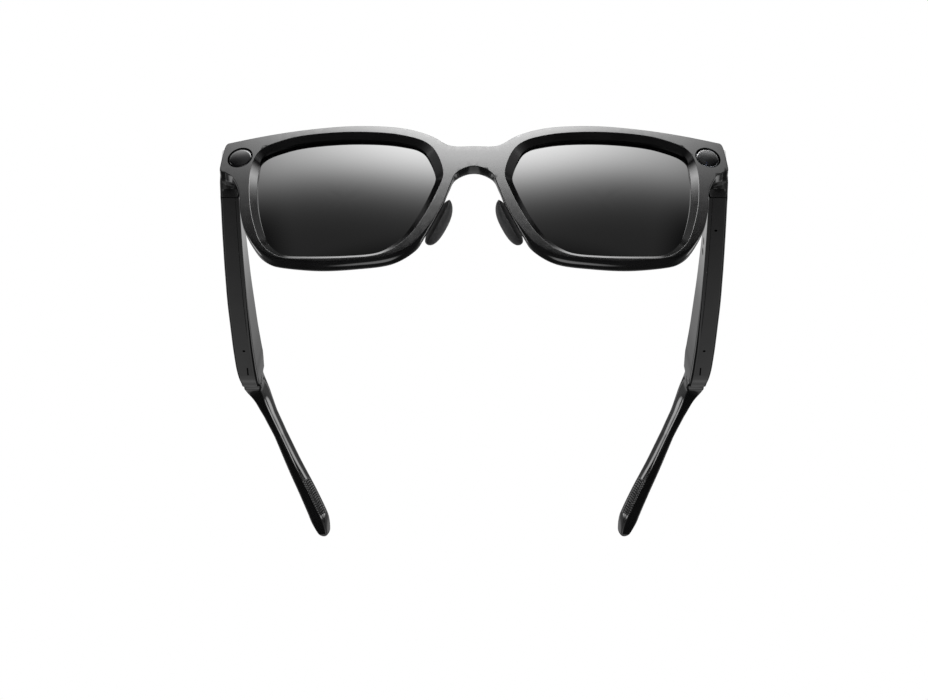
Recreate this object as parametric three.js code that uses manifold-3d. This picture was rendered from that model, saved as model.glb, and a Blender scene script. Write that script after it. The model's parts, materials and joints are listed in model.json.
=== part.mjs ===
// Smart glasses: a moulded front with two tinted lenses, a camera and a status light in its
// corners, and two folding temples that hold the batteries, boards, speakers and microphones.
//
// Everything is laid out as the glasses are worn: X to the side, Y back along the temples, Z up,
// and (0, 0, 0) in the middle of the bridge's front face. At the end the whole is tipped until
// the rims and both ear tips stand on one surface, with the origin centred under the glasses.
// "left" is the wearer's left, the +X side. Millimetres and degrees.
import * as THREE from 'three';
import { mergeVertices } from 'three/addons/utils/BufferGeometryUtils.js';
import { TessellateModifier } from 'three/addons/modifiers/TessellateModifier.js';
import Module from 'manifold-3d';

const wasm = await Module();
wasm.setup();

// ---------------------------------------------------------------- driving dimensions

const GAP = 0.3;                    // clearance between neighbouring pieces

const FRONT_CURVE_R = 290;          // the front bends round this radius, seen from above
const FRONT_TILT = 2.5;             // the front's lower edge lies further back by this angle
const FRONT_DEPTH = 6.2;            // thickness at the brow and bridge, front to back
const RIM_THINNING = 1.2;           // how much thinner the rims are at the bottom
const EDGE = [0.25, 0.25];          // chamfer of the outer front edge at the top, [height, depth]
const ROLL = [2, 1.15];             // how much larger it grows round the bottom of the rims
const TURN_INSET = 0.4;             // the outer wall draws in this far, then slopes to the rear
const TURN_DEPTH = [3.6, 2.3];      // depth where that slope starts, at the bridge and the bottom
const REAR_SLOPE = 0.93;
const BROW_DRAW = 0.54;             // how far the wall draws in along the brow, where it is steep
const BEVEL_DEPTH = 1.8;            // bevel round each lens opening, on the front
const BEVEL_WIDTH = [2.2, 1.3];     // beside the lens and above it
const LONGEST_EDGE = 12;            // longest straight edge on the curved front

// Half of the front's outline, [x, z], from the middle outwards; the other half mirrors it.
const TOP_EDGE = [[0, 10.4], [6.9, 10.7], [12.8, 14.9], [21.5, 18.4], [34.7, 20.4], [48, 20.9],
  [60, 20.75], [72.2, 20.2]];
const SIDE_EDGE = [[73.1, 19.5], [74.3, 10.8], [74, 9.4]];
const LOWER_EDGE = [[0, 2.5], [4.9, 0], [6.85, -5.1], [8.8, -11.5], [13.6, -22.7], [16.6, -28],
  [23.2, -32.3], [33, -33.2], [43.5, -32.6], [54, -29.9], [58.6, -27.3], [61.9, -22.9],
  [65.5, -14.9], [67.2, -7.2], [68, 0.4], [70.2, 6.1], [72.8, 8.9]];
// The lens opening on the +X side, [x, z], at the front face.
const OPENING = [[62.5, 15.1], [56, 17.85], [47.9, 18.7], [34.7, 18], [21.5, 15.6], [12.7, 11],
  [8.9, 1.05], [10.4, -6.6], [15, -17.8], [19.7, -25], [26.3, -29.6], [36, -30.1],
  [48, -28.8], [54.8, -27], [59.8, -22], [62.6, -14.6], [64.6, -3.9], [64.9, 7.9]];

const LENS_UPRIGHT_R = 900;         // slight upright curve; across, the lens follows the front
const LENS_THICKNESS = 1.5;
const LENS_CENTRE = [37, -6];       // [x, z]
const LENS_DEPTH = 2.4;             // front of the lens behind the front face, at its centre
const LENS_BITE = 0.6;              // how far the lens edge reaches into its groove

const EYE = [68.3, 13.6];           // centre of the camera and light windows, [x, z]
const EYE_FACING = { aside: 9.5, down: 4.5 };    // degrees that the windows are turned by
const MODULE_SHIFT = 0.38;          // the parts behind a window face straight ahead, further in
const EYE_HOLE_R = 3.85;
const EYE_HOLE_END = 3.2;
const WINDOW_R = 3.2;
const WINDOW_THICKNESS = 1.3;
const MODULE_BORE_R = 3.3;
const MODULE_BORE_END = 8.6;

const HINGE = { x: 67.8, y: 19.6, bottom: 10.8, top: 18.6, knuckleR: 1.4, boreR: 0.68, pinR: 0.6 };

const TEMPLE = { front: 19.9, rear: 106.3, bottom: 9.2, top: 20.2, wall: 1, cover: 0.9 };
const REAR_TAPER = { from: 102, by: 0.9 };    // top and bottom draw in before the ear tip
const CAVITY = { front: 30, rear: 100 };
// Outer face and thickness of the temple, [y, x] and [y, thickness], and how far the top of its
// inner face leans inwards, [y, distance].
const TEMPLE_OUTER = [[TEMPLE.front, 74.7], [34, 75.2], [49, 75.6], [66, 75.85], [88.6, 75.5],
  [100, 75], [TEMPLE.rear, 73.7]];
const TEMPLE_THICKNESS = [[TEMPLE.front, 5.6], [49, 6], [66, 6.2], [98, 6.2], [TEMPLE.rear, 5.6]];
const INNER_LEAN = [[TEMPLE.front, 0], [45, 0.2], [100, 1.5], [TEMPLE.rear, 1]];

// Middle line of the ear tip and its [width, height] at each point: as tall as the temple at
// first, then a slim neck, and wider again towards the end behind the ear.
const TIP_PATH = [[71.2, 102.5, 15.2], [70.5, 106.6, 14.7], [70.3, 109.8, 15], [68.2, 113.6, 13.2],
  [65.3, 118.2, 9], [62.1, 123.1, 4.4], [57.7, 130.2, -2.3], [53.3, 137.4, -8.3],
  [50, 143.4, -13.2], [47.9, 148.6, -17.3]];
const TIP_SIZE = [[5.8, 9.6], [5.8, 9.2], [5.8, 8], [5.4, 6.6], [4, 5.6], [3.6, 5.3], [4.3, 5.7],
  [5.2, 6], [5.8, 6], [2.6, 4.2]];
const TIP_FRONT = 106.6;            // where the ear tip meets the temple
const CORE_R = 0.5;                 // wire inside the ear tip
const CORE_START = [71.5, 97.4, 15.2];
const CORE_REAR = 138;

const BUTTON = { y: 38, length: 9, width: 2.2, proud: 0.55, flange: 0.5, travel: 0.45 };
const SLIT = { x: 71.5, front: 96.2, rear: 99.8, width: 0.45 };   // sound slit, underside
const MIC_X = 72.1;
const MIC_HOLE_R = 0.45;
const CONTACTS_Y = [44, 48.5];
const CONTACT_R = 1.1;

// ---------------------------------------------------------------- finishes

const finish = (color, roughness, metalness = 0) =>
  () => new THREE.MeshStandardMaterial({ color, roughness, metalness });
const FINISH = {
  glossBlack: finish(0x0b0b0c, 0.16),
  satinBlack: finish(0x131314, 0.35),
  lensTint: finish(0x0c0d0f, 0.05),
  silicone: finish(0x222324, 0.7),
  windowGlass: finish(0x06080c, 0.05),
  blackMetal: finish(0x1b1b1d, 0.3, 0.9),
  steel: finish(0xa9abae, 0.3, 1),
  gold: finish(0xc9a24d, 0.25, 1),
  circuitBoard: finish(0x16351f, 0.5),
  amberFilm: finish(0x9a5a17, 0.4),
  foil: finish(0xb5b8bd, 0.4, 0.8),
  meshCloth: finish(0x1a1a1b, 0.8),
  sensorFilm: finish(0x3a3c40, 0.5),
};

// ---------------------------------------------------------------- shape helpers

const { clamp, lerp, smoothstep, degToRad: rad } = THREE.MathUtils;
const point = (x, y, z) => new THREE.Vector3(x, y, z);
const wrap = (x) => x * x / (2 * FRONT_CURVE_R);
const tilt = (z) => -Math.tan(rad(FRONT_TILT)) * z;
const asDepth = ([x, z]) => point(x, 0, z);
const mirrorHalf = (half) => [...half.slice(1).reverse().map(([x, z]) => [-x, z]), ...half];

// Smooth line through the points, open or closed.
function smooth(points, perSpan, closed = false) {
  const curve = new THREE.CatmullRomCurve3(points, closed, 'catmullrom', 0.5);
  const line = curve.getPoints(perSpan * (points.length - (closed ? 0 : 1)));
  return closed ? line.slice(0, -1) : line;
}

// Value at a place along a list of [place, value] pairs, on straight lines between them.
function along(list, place) {
  const after = Math.max(1, list.findIndex(([at]) => at >= place));
  const [[fromAt, from], [toAt, to]] = [list[after - 1], list[after]];
  return lerp(from, to, clamp((place - fromAt) / (toAt - fromAt), 0, 1));
}

// Each point of a closed ring lying in an XZ plane, with the ring's normal there, made to point
// outwards whichever way round the ring runs.
function ringNormals(ring) {
  const area = ring.reduce((sum, p, i) => {
    const q = ring[(i + 1) % ring.length];
    return sum + p.x * q.z - q.x * p.z;
  }, 0);
  return ring.map((_, i) => {
    const ahead = ring[(i + 1) % ring.length];
    const behind = ring[(i + ring.length - 1) % ring.length];
    const normal = point(ahead.z - behind.z, 0, behind.x - ahead.x).normalize();
    return normal.multiplyScalar(Math.sign(area));
  });
}

// The ring grown outwards and moved back; both distances may depend on the point.
function grown(ring, distance, depth = 0) {
  const normals = ringNormals(ring);
  const at = (value, p) => (typeof value === 'function' ? value(p) : value);
  return ring.map((p, i) =>
    p.clone().addScaledVector(normals[i], at(distance, p)).add(point(0, at(depth, p), 0)));
}

// Closed body through layers of matching rings. Each layer is [outer ring, hole ring, ...], and
// `flat` gives the two coordinates in which the end caps are cut into triangles.
function loft(layers, flat = (p) => [p.x, p.z]) {
  const flattened = (ring) => ring.map((p) => new THREE.Vector2(...flat(p)));
  // The outer ring runs one way round and every hole ring the other.
  const turnedOver = layers[0].map((ring, loop) =>
    THREE.ShapeUtils.isClockWise(flattened(ring)) === (loop === 0));
  const ordered = layers.map((loops) =>
    loops.map((ring, loop) => (turnedOver[loop] ? ring.toReversed() : ring)));
  const vertices = ordered.flat(2);
  const layerSize = ordered[0].flat().length;
  const faces = [];
  let start = 0;
  ordered[0].forEach((ring) => {
    for (let layer = 0; layer + 1 < layers.length; layer++) {
      const near = layer * layerSize + start;
      const far = near + layerSize;
      ring.forEach((_, i) => {
        const j = (i + 1) % ring.length;
        faces.push([near + i, near + j, far + j], [near + i, far + j, far + i]);
      });
    }
    start += ring.length;
  });
  [0, layers.length - 1].forEach((layer) => {
    const loops = ordered[layer].map(flattened);
    const points = loops.flat();
    THREE.ShapeUtils.triangulateShape(loops[0], loops.slice(1)).forEach((face) => {
      const clockwise = THREE.ShapeUtils.isClockWise(face.map((i) => points[i]));
      const corners = face.map((i) => layer * layerSize + i);
      faces.push(clockwise === (layer === 0) ? corners : corners.toReversed());
    });
  });
  return outward(vertices, faces);
}

// Geometry from points and faces, turned over if its faces point inwards.
function outward(vertices, faces) {
  const volume = faces.reduce((sum, [a, b, c]) =>
    sum + vertices[a].dot(vertices[b].clone().cross(vertices[c])), 0);
  const order = volume < 0 ? faces.map((face) => face.toReversed()) : faces;
  const geometry = new THREE.BufferGeometry().setFromPoints(vertices);
  geometry.setIndex(order.flat());
  return geometry;
}

function toSolid(geometry) {
  const bare = geometry.clone();
  bare.deleteAttribute('normal');
  bare.deleteAttribute('uv');
  const merged = mergeVertices(bare, 1e-5);
  return new wasm.Manifold(new wasm.Mesh({
    numProp: 3,
    vertProperties: new Float32Array(merged.attributes.position.array),
    triVerts: new Uint32Array(merged.index.array),
  }));
}

function toGeometry(solid) {
  const { vertProperties, triVerts } = solid.getMesh();
  const geometry = new THREE.BufferGeometry();
  geometry.setAttribute('position', new THREE.BufferAttribute(vertProperties, 3));
  geometry.setIndex(new THREE.BufferAttribute(triVerts, 1));
  return geometry;
}

// The first geometry with the `joined` ones added and the `cut` ones taken away.
function shaped(geometry, { joined = [], cut = [] }) {
  let solid = toSolid(geometry);
  joined.forEach((other) => { solid = solid.add(toSolid(other)); });
  cut.forEach((other) => { solid = solid.subtract(toSolid(other)); });
  return toGeometry(solid);
}

function mirrored(geometry) {
  const copy = geometry.index ? geometry.toNonIndexed() : geometry.clone();
  copy.scale(-1, 1, 1);
  const { array } = copy.attributes.position;
  for (let i = 0; i < array.length; i += 9) {
    for (let k = 0; k < 3; k++) {
      [array[i + 3 + k], array[i + 6 + k]] = [array[i + 6 + k], array[i + 3 + k]];
    }
  }
  return copy;
}

// Box between two corners, given as ranges.
function block([x0, x1], [y0, y1], [z0, z1]) {
  const box = new THREE.BoxGeometry(x1 - x0, y1 - y0, z1 - z0);
  return box.translate((x0 + x1) / 2, (y0 + y1) / 2, (z0 + z1) / 2);
}

// Upright round bar between two heights.
function upright(x, y, [z0, z1], radius, sides = 16) {
  const bar = new THREE.CylinderGeometry(radius, radius, z1 - z0, sides);
  return bar.rotateX(Math.PI / 2).translate(x, y, (z0 + z1) / 2);
}

// Places a piece whose Y axis runs back from the face: on the axis of the camera or light window,
// or on the straight axis of the parts behind it.
function onWindowAxis(geometry) {
  const [x, z] = EYE;
  return geometry.rotateX(rad(EYE_FACING.down)).rotateZ(rad(EYE_FACING.aside))
    .translate(x, wrap(x) + tilt(z), z);
}
function onModuleAxis(geometry) {
  const [x, z] = EYE;
  return geometry.rotateX(rad(FRONT_TILT)).translate(x - MODULE_SHIFT, wrap(x) + tilt(z), z);
}
function bar(radius, [from, to], sides) {
  const round = new THREE.CylinderGeometry(radius, radius, to - from, sides);
  return round.translate(0, (from + to) / 2, 0);
}

// ---------------------------------------------------------------- the front

const frontOutline = (() => {
  const edge = (half) => smooth(mirrorHalf(half).map(asDepth), 2);
  const farSide = SIDE_EDGE.map(([x, z]) => [-x, z]).reverse();
  return [...edge(TOP_EDGE), ...SIDE_EDGE.map(asDepth), ...edge(LOWER_EDGE).reverse(),
    ...farSide.map(asDepth)];
})();
const opening = smooth(OPENING.map(asDepth), 2, true);
const flipped = (ring) => ring.map((p) => point(-p.x, p.y, p.z)).reverse();

// Moves flat-built geometry onto the curved and tilted front. Long edges are split first, so
// that they follow the curve.
function bend(flatGeometry) {
  const geometry = new TessellateModifier(LONGEST_EDGE, 8).modify(flatGeometry);
  const { position } = geometry.attributes;
  for (let i = 0; i < position.count; i++) {
    position.setY(i, position.getY(i) + wrap(position.getX(i)) + tilt(position.getZ(i)));
  }
  return geometry;
}

// Curved sheet with the lens curve, out to the given outline.
function lensBody(outline, front, thickness) {
  const [cx, cz] = LENS_CENTRE;
  const rings = [1, 0.7, 0.35];
  const surface = (x, z) => wrap(x) + tilt(z) + front + (z - cz) ** 2 / (2 * LENS_UPRIGHT_R);
  const at = (p, s, back) => {
    const [x, z] = [cx + s * (p.x - cx), cz + s * (p.z - cz)];
    return point(x, surface(x, z) + back, z);
  };
  const count = outline.length;
  const vertices = [];
  [0, thickness].forEach((back) => {
    rings.forEach((s) => vertices.push(...outline.map((p) => at(p, s, back))));
    vertices.push(point(cx, surface(cx, cz) + back, cz));
  });
  const half = rings.length * count + 1;
  const faces = [];
  for (let i = 0; i < count; i++) {
    const j = (i + 1) % count;
    [0, half].forEach((base, side) => {
      const skin = [];
      for (let ring = 0; ring + 1 < rings.length; ring++) {
        const [a, b] = [base + ring * count, base + (ring + 1) * count];
        skin.push([a + i, a + j, b + j], [a + i, b + j, b + i]);
      }
      const inner = base + (rings.length - 1) * count;
      skin.push([inner + i, inner + j, base + half - 1]);
      faces.push(...skin.map((face) => (side ? face.toReversed() : face)));
    });
    faces.push([i, half + i, half + j], [i, half + j, j]);
  }
  return outward(vertices, faces);
}

// The end piece behind each window, which carries the hinge.
function endBlock() {
  // Depth, inner side and outer side: the rear part leaves room for the hinge.
  const stations = [[11, 65.5, 74.2], [14, 64, 74.45], [16.3, 64.2, 74.55], [16.6, 69.5, 74.57],
    [TEMPLE.front - 2 * GAP, 69.5, 74.7]];
  const round = 0.7;
  const [bottom, top] = [TEMPLE.bottom + 0.2, TEMPLE.top - GAP];
  return loft(stations.map(([y, inner, outer]) => [[
    point(inner, y, bottom), point(outer - round, y, bottom), point(outer, y, bottom + round),
    point(outer, y, top - round), point(outer - round, y, top), point(inner, y, top),
  ]]));
}

// How low on the rim, how far round its bottom, and how high on the brow a point of the outline
// lies, 0 to 1 each, and the rim's shape there.
const lowness = (p) => smoothstep(-p.z, -4, 14);
const rolled = (p) => smoothstep(-p.z, 16, 33);
const topness = (p) => smoothstep(p.z, 4, 10);
const rearDepth = (p) => FRONT_DEPTH - RIM_THINNING * lowness(p);
const edgeHeight = (p) => EDGE[0] + ROLL[0] * rolled(p);
const edgeDepth = (p) => EDGE[1] + ROLL[1] * rolled(p);
const turnDepth = (p) => lerp(TURN_DEPTH[0], TURN_DEPTH[1], lowness(p));
const turnInset = (p) => TURN_INSET * (1 - topness(p));
const rearInset = (p) =>
  lerp(TURN_INSET + REAR_SLOPE * (rearDepth(p) - turnDepth(p)), BROW_DRAW, topness(p));
const bevelWidth = (p) => lerp(...BEVEL_WIDTH, smoothstep(p.z, 7, 16));
const lensOutline = (clearance) => grown(opening, (p) => LENS_BITE + clearance - bevelWidth(p));

function frontFrame() {
  const quarter = 1 - Math.SQRT1_2;       // middle point of the elliptical front edge
  const outer = [[0, (p) => -edgeHeight(p)],
    [(p) => quarter * edgeDepth(p), (p) => -quarter * edgeHeight(p)], [edgeDepth, 0],
    [turnDepth, (p) => -turnInset(p)], [rearDepth, (p) => -rearInset(p)]];
  const bevelled = (p) => -bevelWidth(p);
  const hole = [0, 0.2, 1].map((part) => [part * BEVEL_DEPTH, (p) => -part * bevelWidth(p)]);
  hole.push([0.6 * FRONT_DEPTH, bevelled], [rearDepth, bevelled]);
  const plate = bend(loft(outer.map(([depth, grow], layer) => [
    grown(frontOutline, grow, depth),
    ...[flipped(opening), opening].map((ring) => grown(ring, hole[layer][1], hole[layer][0])),
  ])));
  const groove = lensBody(lensOutline(GAP), LENS_DEPTH - GAP, LENS_THICKNESS + 2 * GAP);
  const bores = [onWindowAxis(bar(EYE_HOLE_R, [-4, EYE_HOLE_END], 32)),
    onModuleAxis(bar(MODULE_BORE_R, [EYE_HOLE_END - 0.4, MODULE_BORE_END], 24))];
  return shaped(plate, {
    joined: [endBlock(), mirrored(endBlock())],
    cut: [groove, mirrored(groove), ...bores, ...bores.map(mirrored)],
  });
}

function lens() {
  return lensBody(lensOutline(0), LENS_DEPTH, LENS_THICKNESS);
}

// Line midway between the brow's upper edge and the lens openings, from one end to the other.
const BROW_LINE = [[0, 7.9], [6, 8.6], [13, 13.1], [21.5, 17.2], [34.7, 19.4], [48, 19.9],
  [57, 19.6], [62, 18.2]];
const BROW_END = BROW_LINE.at(-1)[0];
// Strip along that line between two depths; `reach` lengthens it at both ends.
function browStrip(halfWidth, [from, to], reach = 0) {
  const line = smooth(mirrorHalf(BROW_LINE).map(asDepth), 2);
  const normals = line.map((_, i) => {
    const ahead = line[Math.min(i + 1, line.length - 1)];
    const behind = line[Math.max(i - 1, 0)];
    return point(behind.z - ahead.z, 0, ahead.x - behind.x).normalize();
  });
  const shifted = (side) =>
    line.map((p, i) => p.clone().addScaledVector(normals[i], side * halfWidth));
  const ring = [...shifted(1), ...shifted(-1).reverse()];
  const end = (p) => Math.sign(p.x) * (Math.abs(p.x) > BROW_END - 1 ? reach : 0);
  return bend(loft([from, to].map((depth) => [ring.map((p) => point(p.x + end(p), depth, p.z))])));
}
const COVER = { front: FRONT_DEPTH + 0.5, rear: FRONT_DEPTH + 1.7, halfWidth: 0.95 };
const CHANNEL = { depth: 0.75, halfWidth: 0.55 };         // hollow side of the cover
const FLEX = { inset: 0.15, thickness: 0.25, halfWidth: 0.25 };
function browCover() {
  const channel = browStrip(CHANNEL.halfWidth, [COVER.front - 1, COVER.front + CHANNEL.depth], 0.8);
  return shaped(browStrip(COVER.halfWidth, [COVER.front, COVER.rear]), { cut: [channel] });
}
function frontFlex() {
  const front = COVER.front + FLEX.inset;
  return browStrip(FLEX.halfWidth, [front, front + FLEX.thickness]);
}

// Half-moon pad on the rear corner of the rim beside the nose, [depth, towards the nose].
const PAD_SECTION = [[3.7, 0.1], [5.9, -2.1], [7.6, -2.3], [9, -0.6], [8.6, 1.3], [6.6, 2.1],
  [4.7, 1.7], [3.7, 0.9]];
const PAD_ROOT = [5.4, -0.2];
const PAD_SPAN = [-21.6, -5.6];      // heights of its two ends
function nosePad() {
  const [low, high] = PAD_SPAN;
  const line = smooth(LOWER_EDGE.map(asDepth), 6);
  const sections = line.map((p, i) => ({ p, ahead: line[i + 1] }))
    .filter(({ p }) => p.x < 20 && p.z > low && p.z < high)
    .map(({ p, ahead }) => {
      const out = point(ahead.z - p.z, 0, p.x - ahead.x).normalize();
      const place = (2 * p.z - low - high) / (high - low);
      const size = (1 - Math.abs(place) ** 2.6) ** 0.5;
      const [rootDepth, rootOut] = PAD_ROOT;
      return [PAD_SECTION.map(([depth, reach]) => p.clone()
        .addScaledVector(out, rootOut + size * (reach - rootOut))
        .add(point(0, rootDepth + size * (depth - rootDepth), 0)))];
    });
  return bend(loft(sections, (p) => [p.x, p.y]));
}

// ---------------------------------------------------------------- camera and light

const WINDOW_FRONT = 0.1;            // depth of the window's face
const TRIM = { front: 1.75, rear: 2.9, holeR: 2.45 };
const BARREL = { front: 2.3, rear: 6.5, radius: 2, apertureR: 0.9, apertureDepth: 0.8 };
const SENSOR = { side: 4.2, thickness: 2.2, middle: 7 };
const LED = { boardR: 2.9, board: [3.6, 4.4], chip: 1.6, chipThickness: 0.9 };

function eyeWindow() {
  return onWindowAxis(bar(WINDOW_R, [WINDOW_FRONT, WINDOW_FRONT + WINDOW_THICKNESS], 32));
}
function trimRing() {
  const { front, rear, holeR } = TRIM;
  const outer = EYE_HOLE_R - GAP;
  const profile = [[holeR, front], [outer, front], [outer, rear], [holeR, rear], [holeR, front]];
  return onWindowAxis(new THREE.LatheGeometry(profile.map(([r, y]) => new THREE.Vector2(r, y)), 24));
}
function cameraModule() {
  const { front, rear, radius, apertureR, apertureDepth } = BARREL;
  const { side, thickness, middle } = SENSOR;
  const base = new THREE.BoxGeometry(side, thickness, side).translate(0, middle, 0);
  return shaped(onModuleAxis(bar(radius, [front, rear], 24)), {
    joined: [onModuleAxis(base)],
    cut: [onModuleAxis(bar(apertureR, [front - 1, front + apertureDepth], 16))],
  });
}
function ledBoard() {
  const { boardR, board, chip, chipThickness } = LED;
  const led = new THREE.BoxGeometry(chip, chipThickness, chip).translate(0, board[0] - 0.35, 0);
  return shaped(onModuleAxis(bar(boardR, board, 24)), { joined: [onModuleAxis(led)] });
}

// ---------------------------------------------------------------- hinge

const knuckleHeight = (HINGE.top - HINGE.bottom - 2 * GAP) / 3;
const knuckle = (n) => {
  const from = HINGE.bottom + n * (knuckleHeight + GAP);
  return [from, from + knuckleHeight];
};
const pinBore = () => upright(HINGE.x, HINGE.y, [HINGE.bottom - 1, HINGE.top + 1], HINGE.boreR);

function hingeFrontLeaf() {
  const { x, y, knuckleR } = HINGE;
  const plate = block([64.9, x + 0.5], [16.9, 17.9], [HINGE.bottom, HINGE.top]);
  const arms = [0, 2].flatMap((n) => [upright(x, y, knuckle(n), knuckleR),
    block([x - 0.8, x + 0.5], [17.4, y], knuckle(n))]);
  return shaped(plate, { joined: arms, cut: [pinBore()] });
}
function hingeTempleLeaf() {
  const { x, y, knuckleR } = HINGE;
  const plate = block([x + 1.4, x + 2.2], [21.4, 28.4], [HINGE.bottom, HINGE.top]);
  const arm = block([x + 0.5, x + 2.2], [y + 0.1, 22], knuckle(1));
  return shaped(plate, { joined: [arm, upright(x, y, knuckle(1), knuckleR)], cut: [pinBore()] });
}
function hingePin() {
  const { x, y, bottom, top, pinR } = HINGE;
  const profile = [[0, bottom - 0.3], [pinR, bottom - 0.3], [pinR, top + GAP], [1.15, top + GAP],
    [1.15, top + 0.7], [0, top + 0.7]].map(([r, z]) => new THREE.Vector2(r, z));
  return new THREE.LatheGeometry(profile, 16).rotateX(Math.PI / 2).translate(x, y, 0);
}

// ---------------------------------------------------------------- temple casing

const outerX = (y) => along(TEMPLE_OUTER, y);
const innerX = (y) => outerX(y) - along(TEMPLE_THICKNESS, y);
const TEMPLE_STATIONS = [TEMPLE.front, 26, 34, 42, 50, 58, 66, 74, 82, 90, 98, 103, TEMPLE.rear];

// Cross-section of the temple at y. `from` is counted from the inner face, and so is `to` unless
// it is zero or negative, when it is counted from the outer face; `trim` draws in top and bottom.
function templeRing(y, from, to, trim = 0, round = 0.7) {
  const lean = along(INNER_LEAN, y);
  const taper = REAR_TAPER.by * smoothstep(y, REAR_TAPER.from, TEMPLE.rear);
  const [low, high] = [TEMPLE.bottom + trim + taper, TEMPLE.top - trim - taper];
  const inLow = innerX(y) + from;
  const inHigh = inLow - lean;
  const outLow = to > 0 ? innerX(y) + to : outerX(y) + to;
  const outHigh = to > 0 ? outLow - lean : outLow;
  const soft = 0.3 * round;
  return [
    point(inLow + round, y, low), point(outLow - round, y, low),
    point(outLow - soft, y, low + soft), point(outLow, y, low + round),
    point(outHigh, y, high - round), point(outHigh - soft, y, high - soft),
    point(outHigh - round, y, high), point(inHigh + round, y, high),
    point(inHigh + soft, y, high - soft), point(inHigh, y, high - round),
    point(inLow, y, low + round), point(inLow + soft, y, low + soft),
  ];
}
const templeLoft = (stations, ...shape) => loft(stations.map((y) => [templeRing(y, ...shape)]));
const between = (from, to) =>
  [from, ...TEMPLE_STATIONS.filter((y) => y > from && y < to), to];

function buttonSlot() {
  const x = (innerX(BUTTON.y) + outerX(BUTTON.y)) / 2;
  return { x, y: BUTTON.y, halfLength: BUTTON.length / 2, halfWidth: BUTTON.width / 2 };
}
// Stadium-shaped bar standing upright, for the capture button and its slot.
function stadium({ x, y, halfLength, halfWidth }, grow, [z0, z1]) {
  const r = halfWidth + grow;
  const straight = halfLength - halfWidth;
  const shape = new THREE.Shape();
  shape.absarc(0, straight, r, 0, Math.PI);
  shape.absarc(0, -straight, r, Math.PI, 2 * Math.PI);
  const settings = { depth: z1 - z0, bevelEnabled: false, curveSegments: 8 };
  return new THREE.ExtrudeGeometry(shape, settings).translate(x, y, z0);
}

function outerShell({ holes, slot }) {
  const { wall, cover } = TEMPLE;
  const body = templeLoft(TEMPLE_STATIONS, cover + GAP, 0);
  const cavity = templeLoft(between(CAVITY.front, CAVITY.rear), -1, -wall, wall, 0.3);
  const wireHole = coreSweep(CORE_R + GAP, CORE_START[1], TEMPLE.rear + 3);
  const through = [TEMPLE.bottom - 1, TEMPLE.bottom + 2 * wall];
  const slit = block([SLIT.x - SLIT.width / 2, SLIT.x + SLIT.width / 2], [SLIT.front, SLIT.rear],
    through);
  const mics = holes.map((y) => upright(MIC_X, y, through, MIC_HOLE_R, 12));
  const button = slot ? [stadium(buttonSlot(), GAP, [TEMPLE.top - 3, TEMPLE.top + 1])] : [];
  return shaped(body, { cut: [cavity, wireHole, slit, ...mics, ...button] });
}
function innerCover({ contacts }) {
  const plate = templeLoft(between(CAVITY.front - 1, TEMPLE.rear), 0, TEMPLE.cover, 0, 0.35);
  const holes = contacts ? CONTACTS_Y.map((y) => contactPin(y, CONTACT_R + GAP, [-3, 3])) : [];
  return shaped(plate, { cut: holes });
}

// ---------------------------------------------------------------- ear tip

const tipPath = smooth(TIP_PATH.map((p) => point(...p)), 2);

// Frames along a line: across and up, square to the line's direction.
function framesAlong(line) {
  return line.map((p, i) => {
    const ahead = line[Math.min(i + 1, line.length - 1)];
    const behind = line[Math.max(i - 1, 0)];
    const way = ahead.clone().sub(behind).normalize();
    const across = way.clone().cross(point(0, 0, 1)).normalize();
    return { p, across, up: across.clone().cross(way) };
  });
}
function oval(frame, width, height, sides = 16) {
  return Array.from({ length: sides }, (_, i) => {
    const angle = 2 * Math.PI * (i + 0.5) / sides;
    const square = (v) => Math.sign(v) * Math.abs(v) ** 0.72;
    return frame.p.clone()
      .addScaledVector(frame.across, square(Math.cos(angle)) * width / 2)
      .addScaledVector(frame.up, square(Math.sin(angle)) * height / 2);
  });
}
// Round bar following the ear tip's middle line between two places along Y.
function coreSweep(radius, from, to) {
  const line = [point(...CORE_START), ...tipPath].filter((p) => p.y >= from && p.y <= to);
  return loft(framesAlong(line).map((frame) =>
    [Array.from({ length: 8 }, (_, i) => {
      const angle = Math.PI * i / 4;
      return frame.p.clone().addScaledVector(frame.across, radius * Math.cos(angle))
        .addScaledVector(frame.up, radius * Math.sin(angle));
    })]));
}
function earTip() {
  const steps = TIP_SIZE.length - 1;
  const sizeAt = (t) => {
    const i = Math.min(steps - 1, Math.floor(t * steps));
    return [0, 1].map((k) => lerp(TIP_SIZE[i][k], TIP_SIZE[i + 1][k], t * steps - i));
  };
  const frames = framesAlong(tipPath);
  const layers = frames.map((frame, i) => [oval(frame, ...sizeAt(i / (frames.length - 1)))]);
  const before = block([60, 80], [TIP_FRONT - 15, TIP_FRONT], [0, 30]);
  return shaped(loft(layers), { cut: [before, coreSweep(CORE_R + GAP, 100, CORE_REAR + 1)] });
}
const tipCore = () => coreSweep(CORE_R, 101, CORE_REAR);

// ---------------------------------------------------------------- inside the temples

const middleX = (y) => innerX(y) + 2.6;
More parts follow.
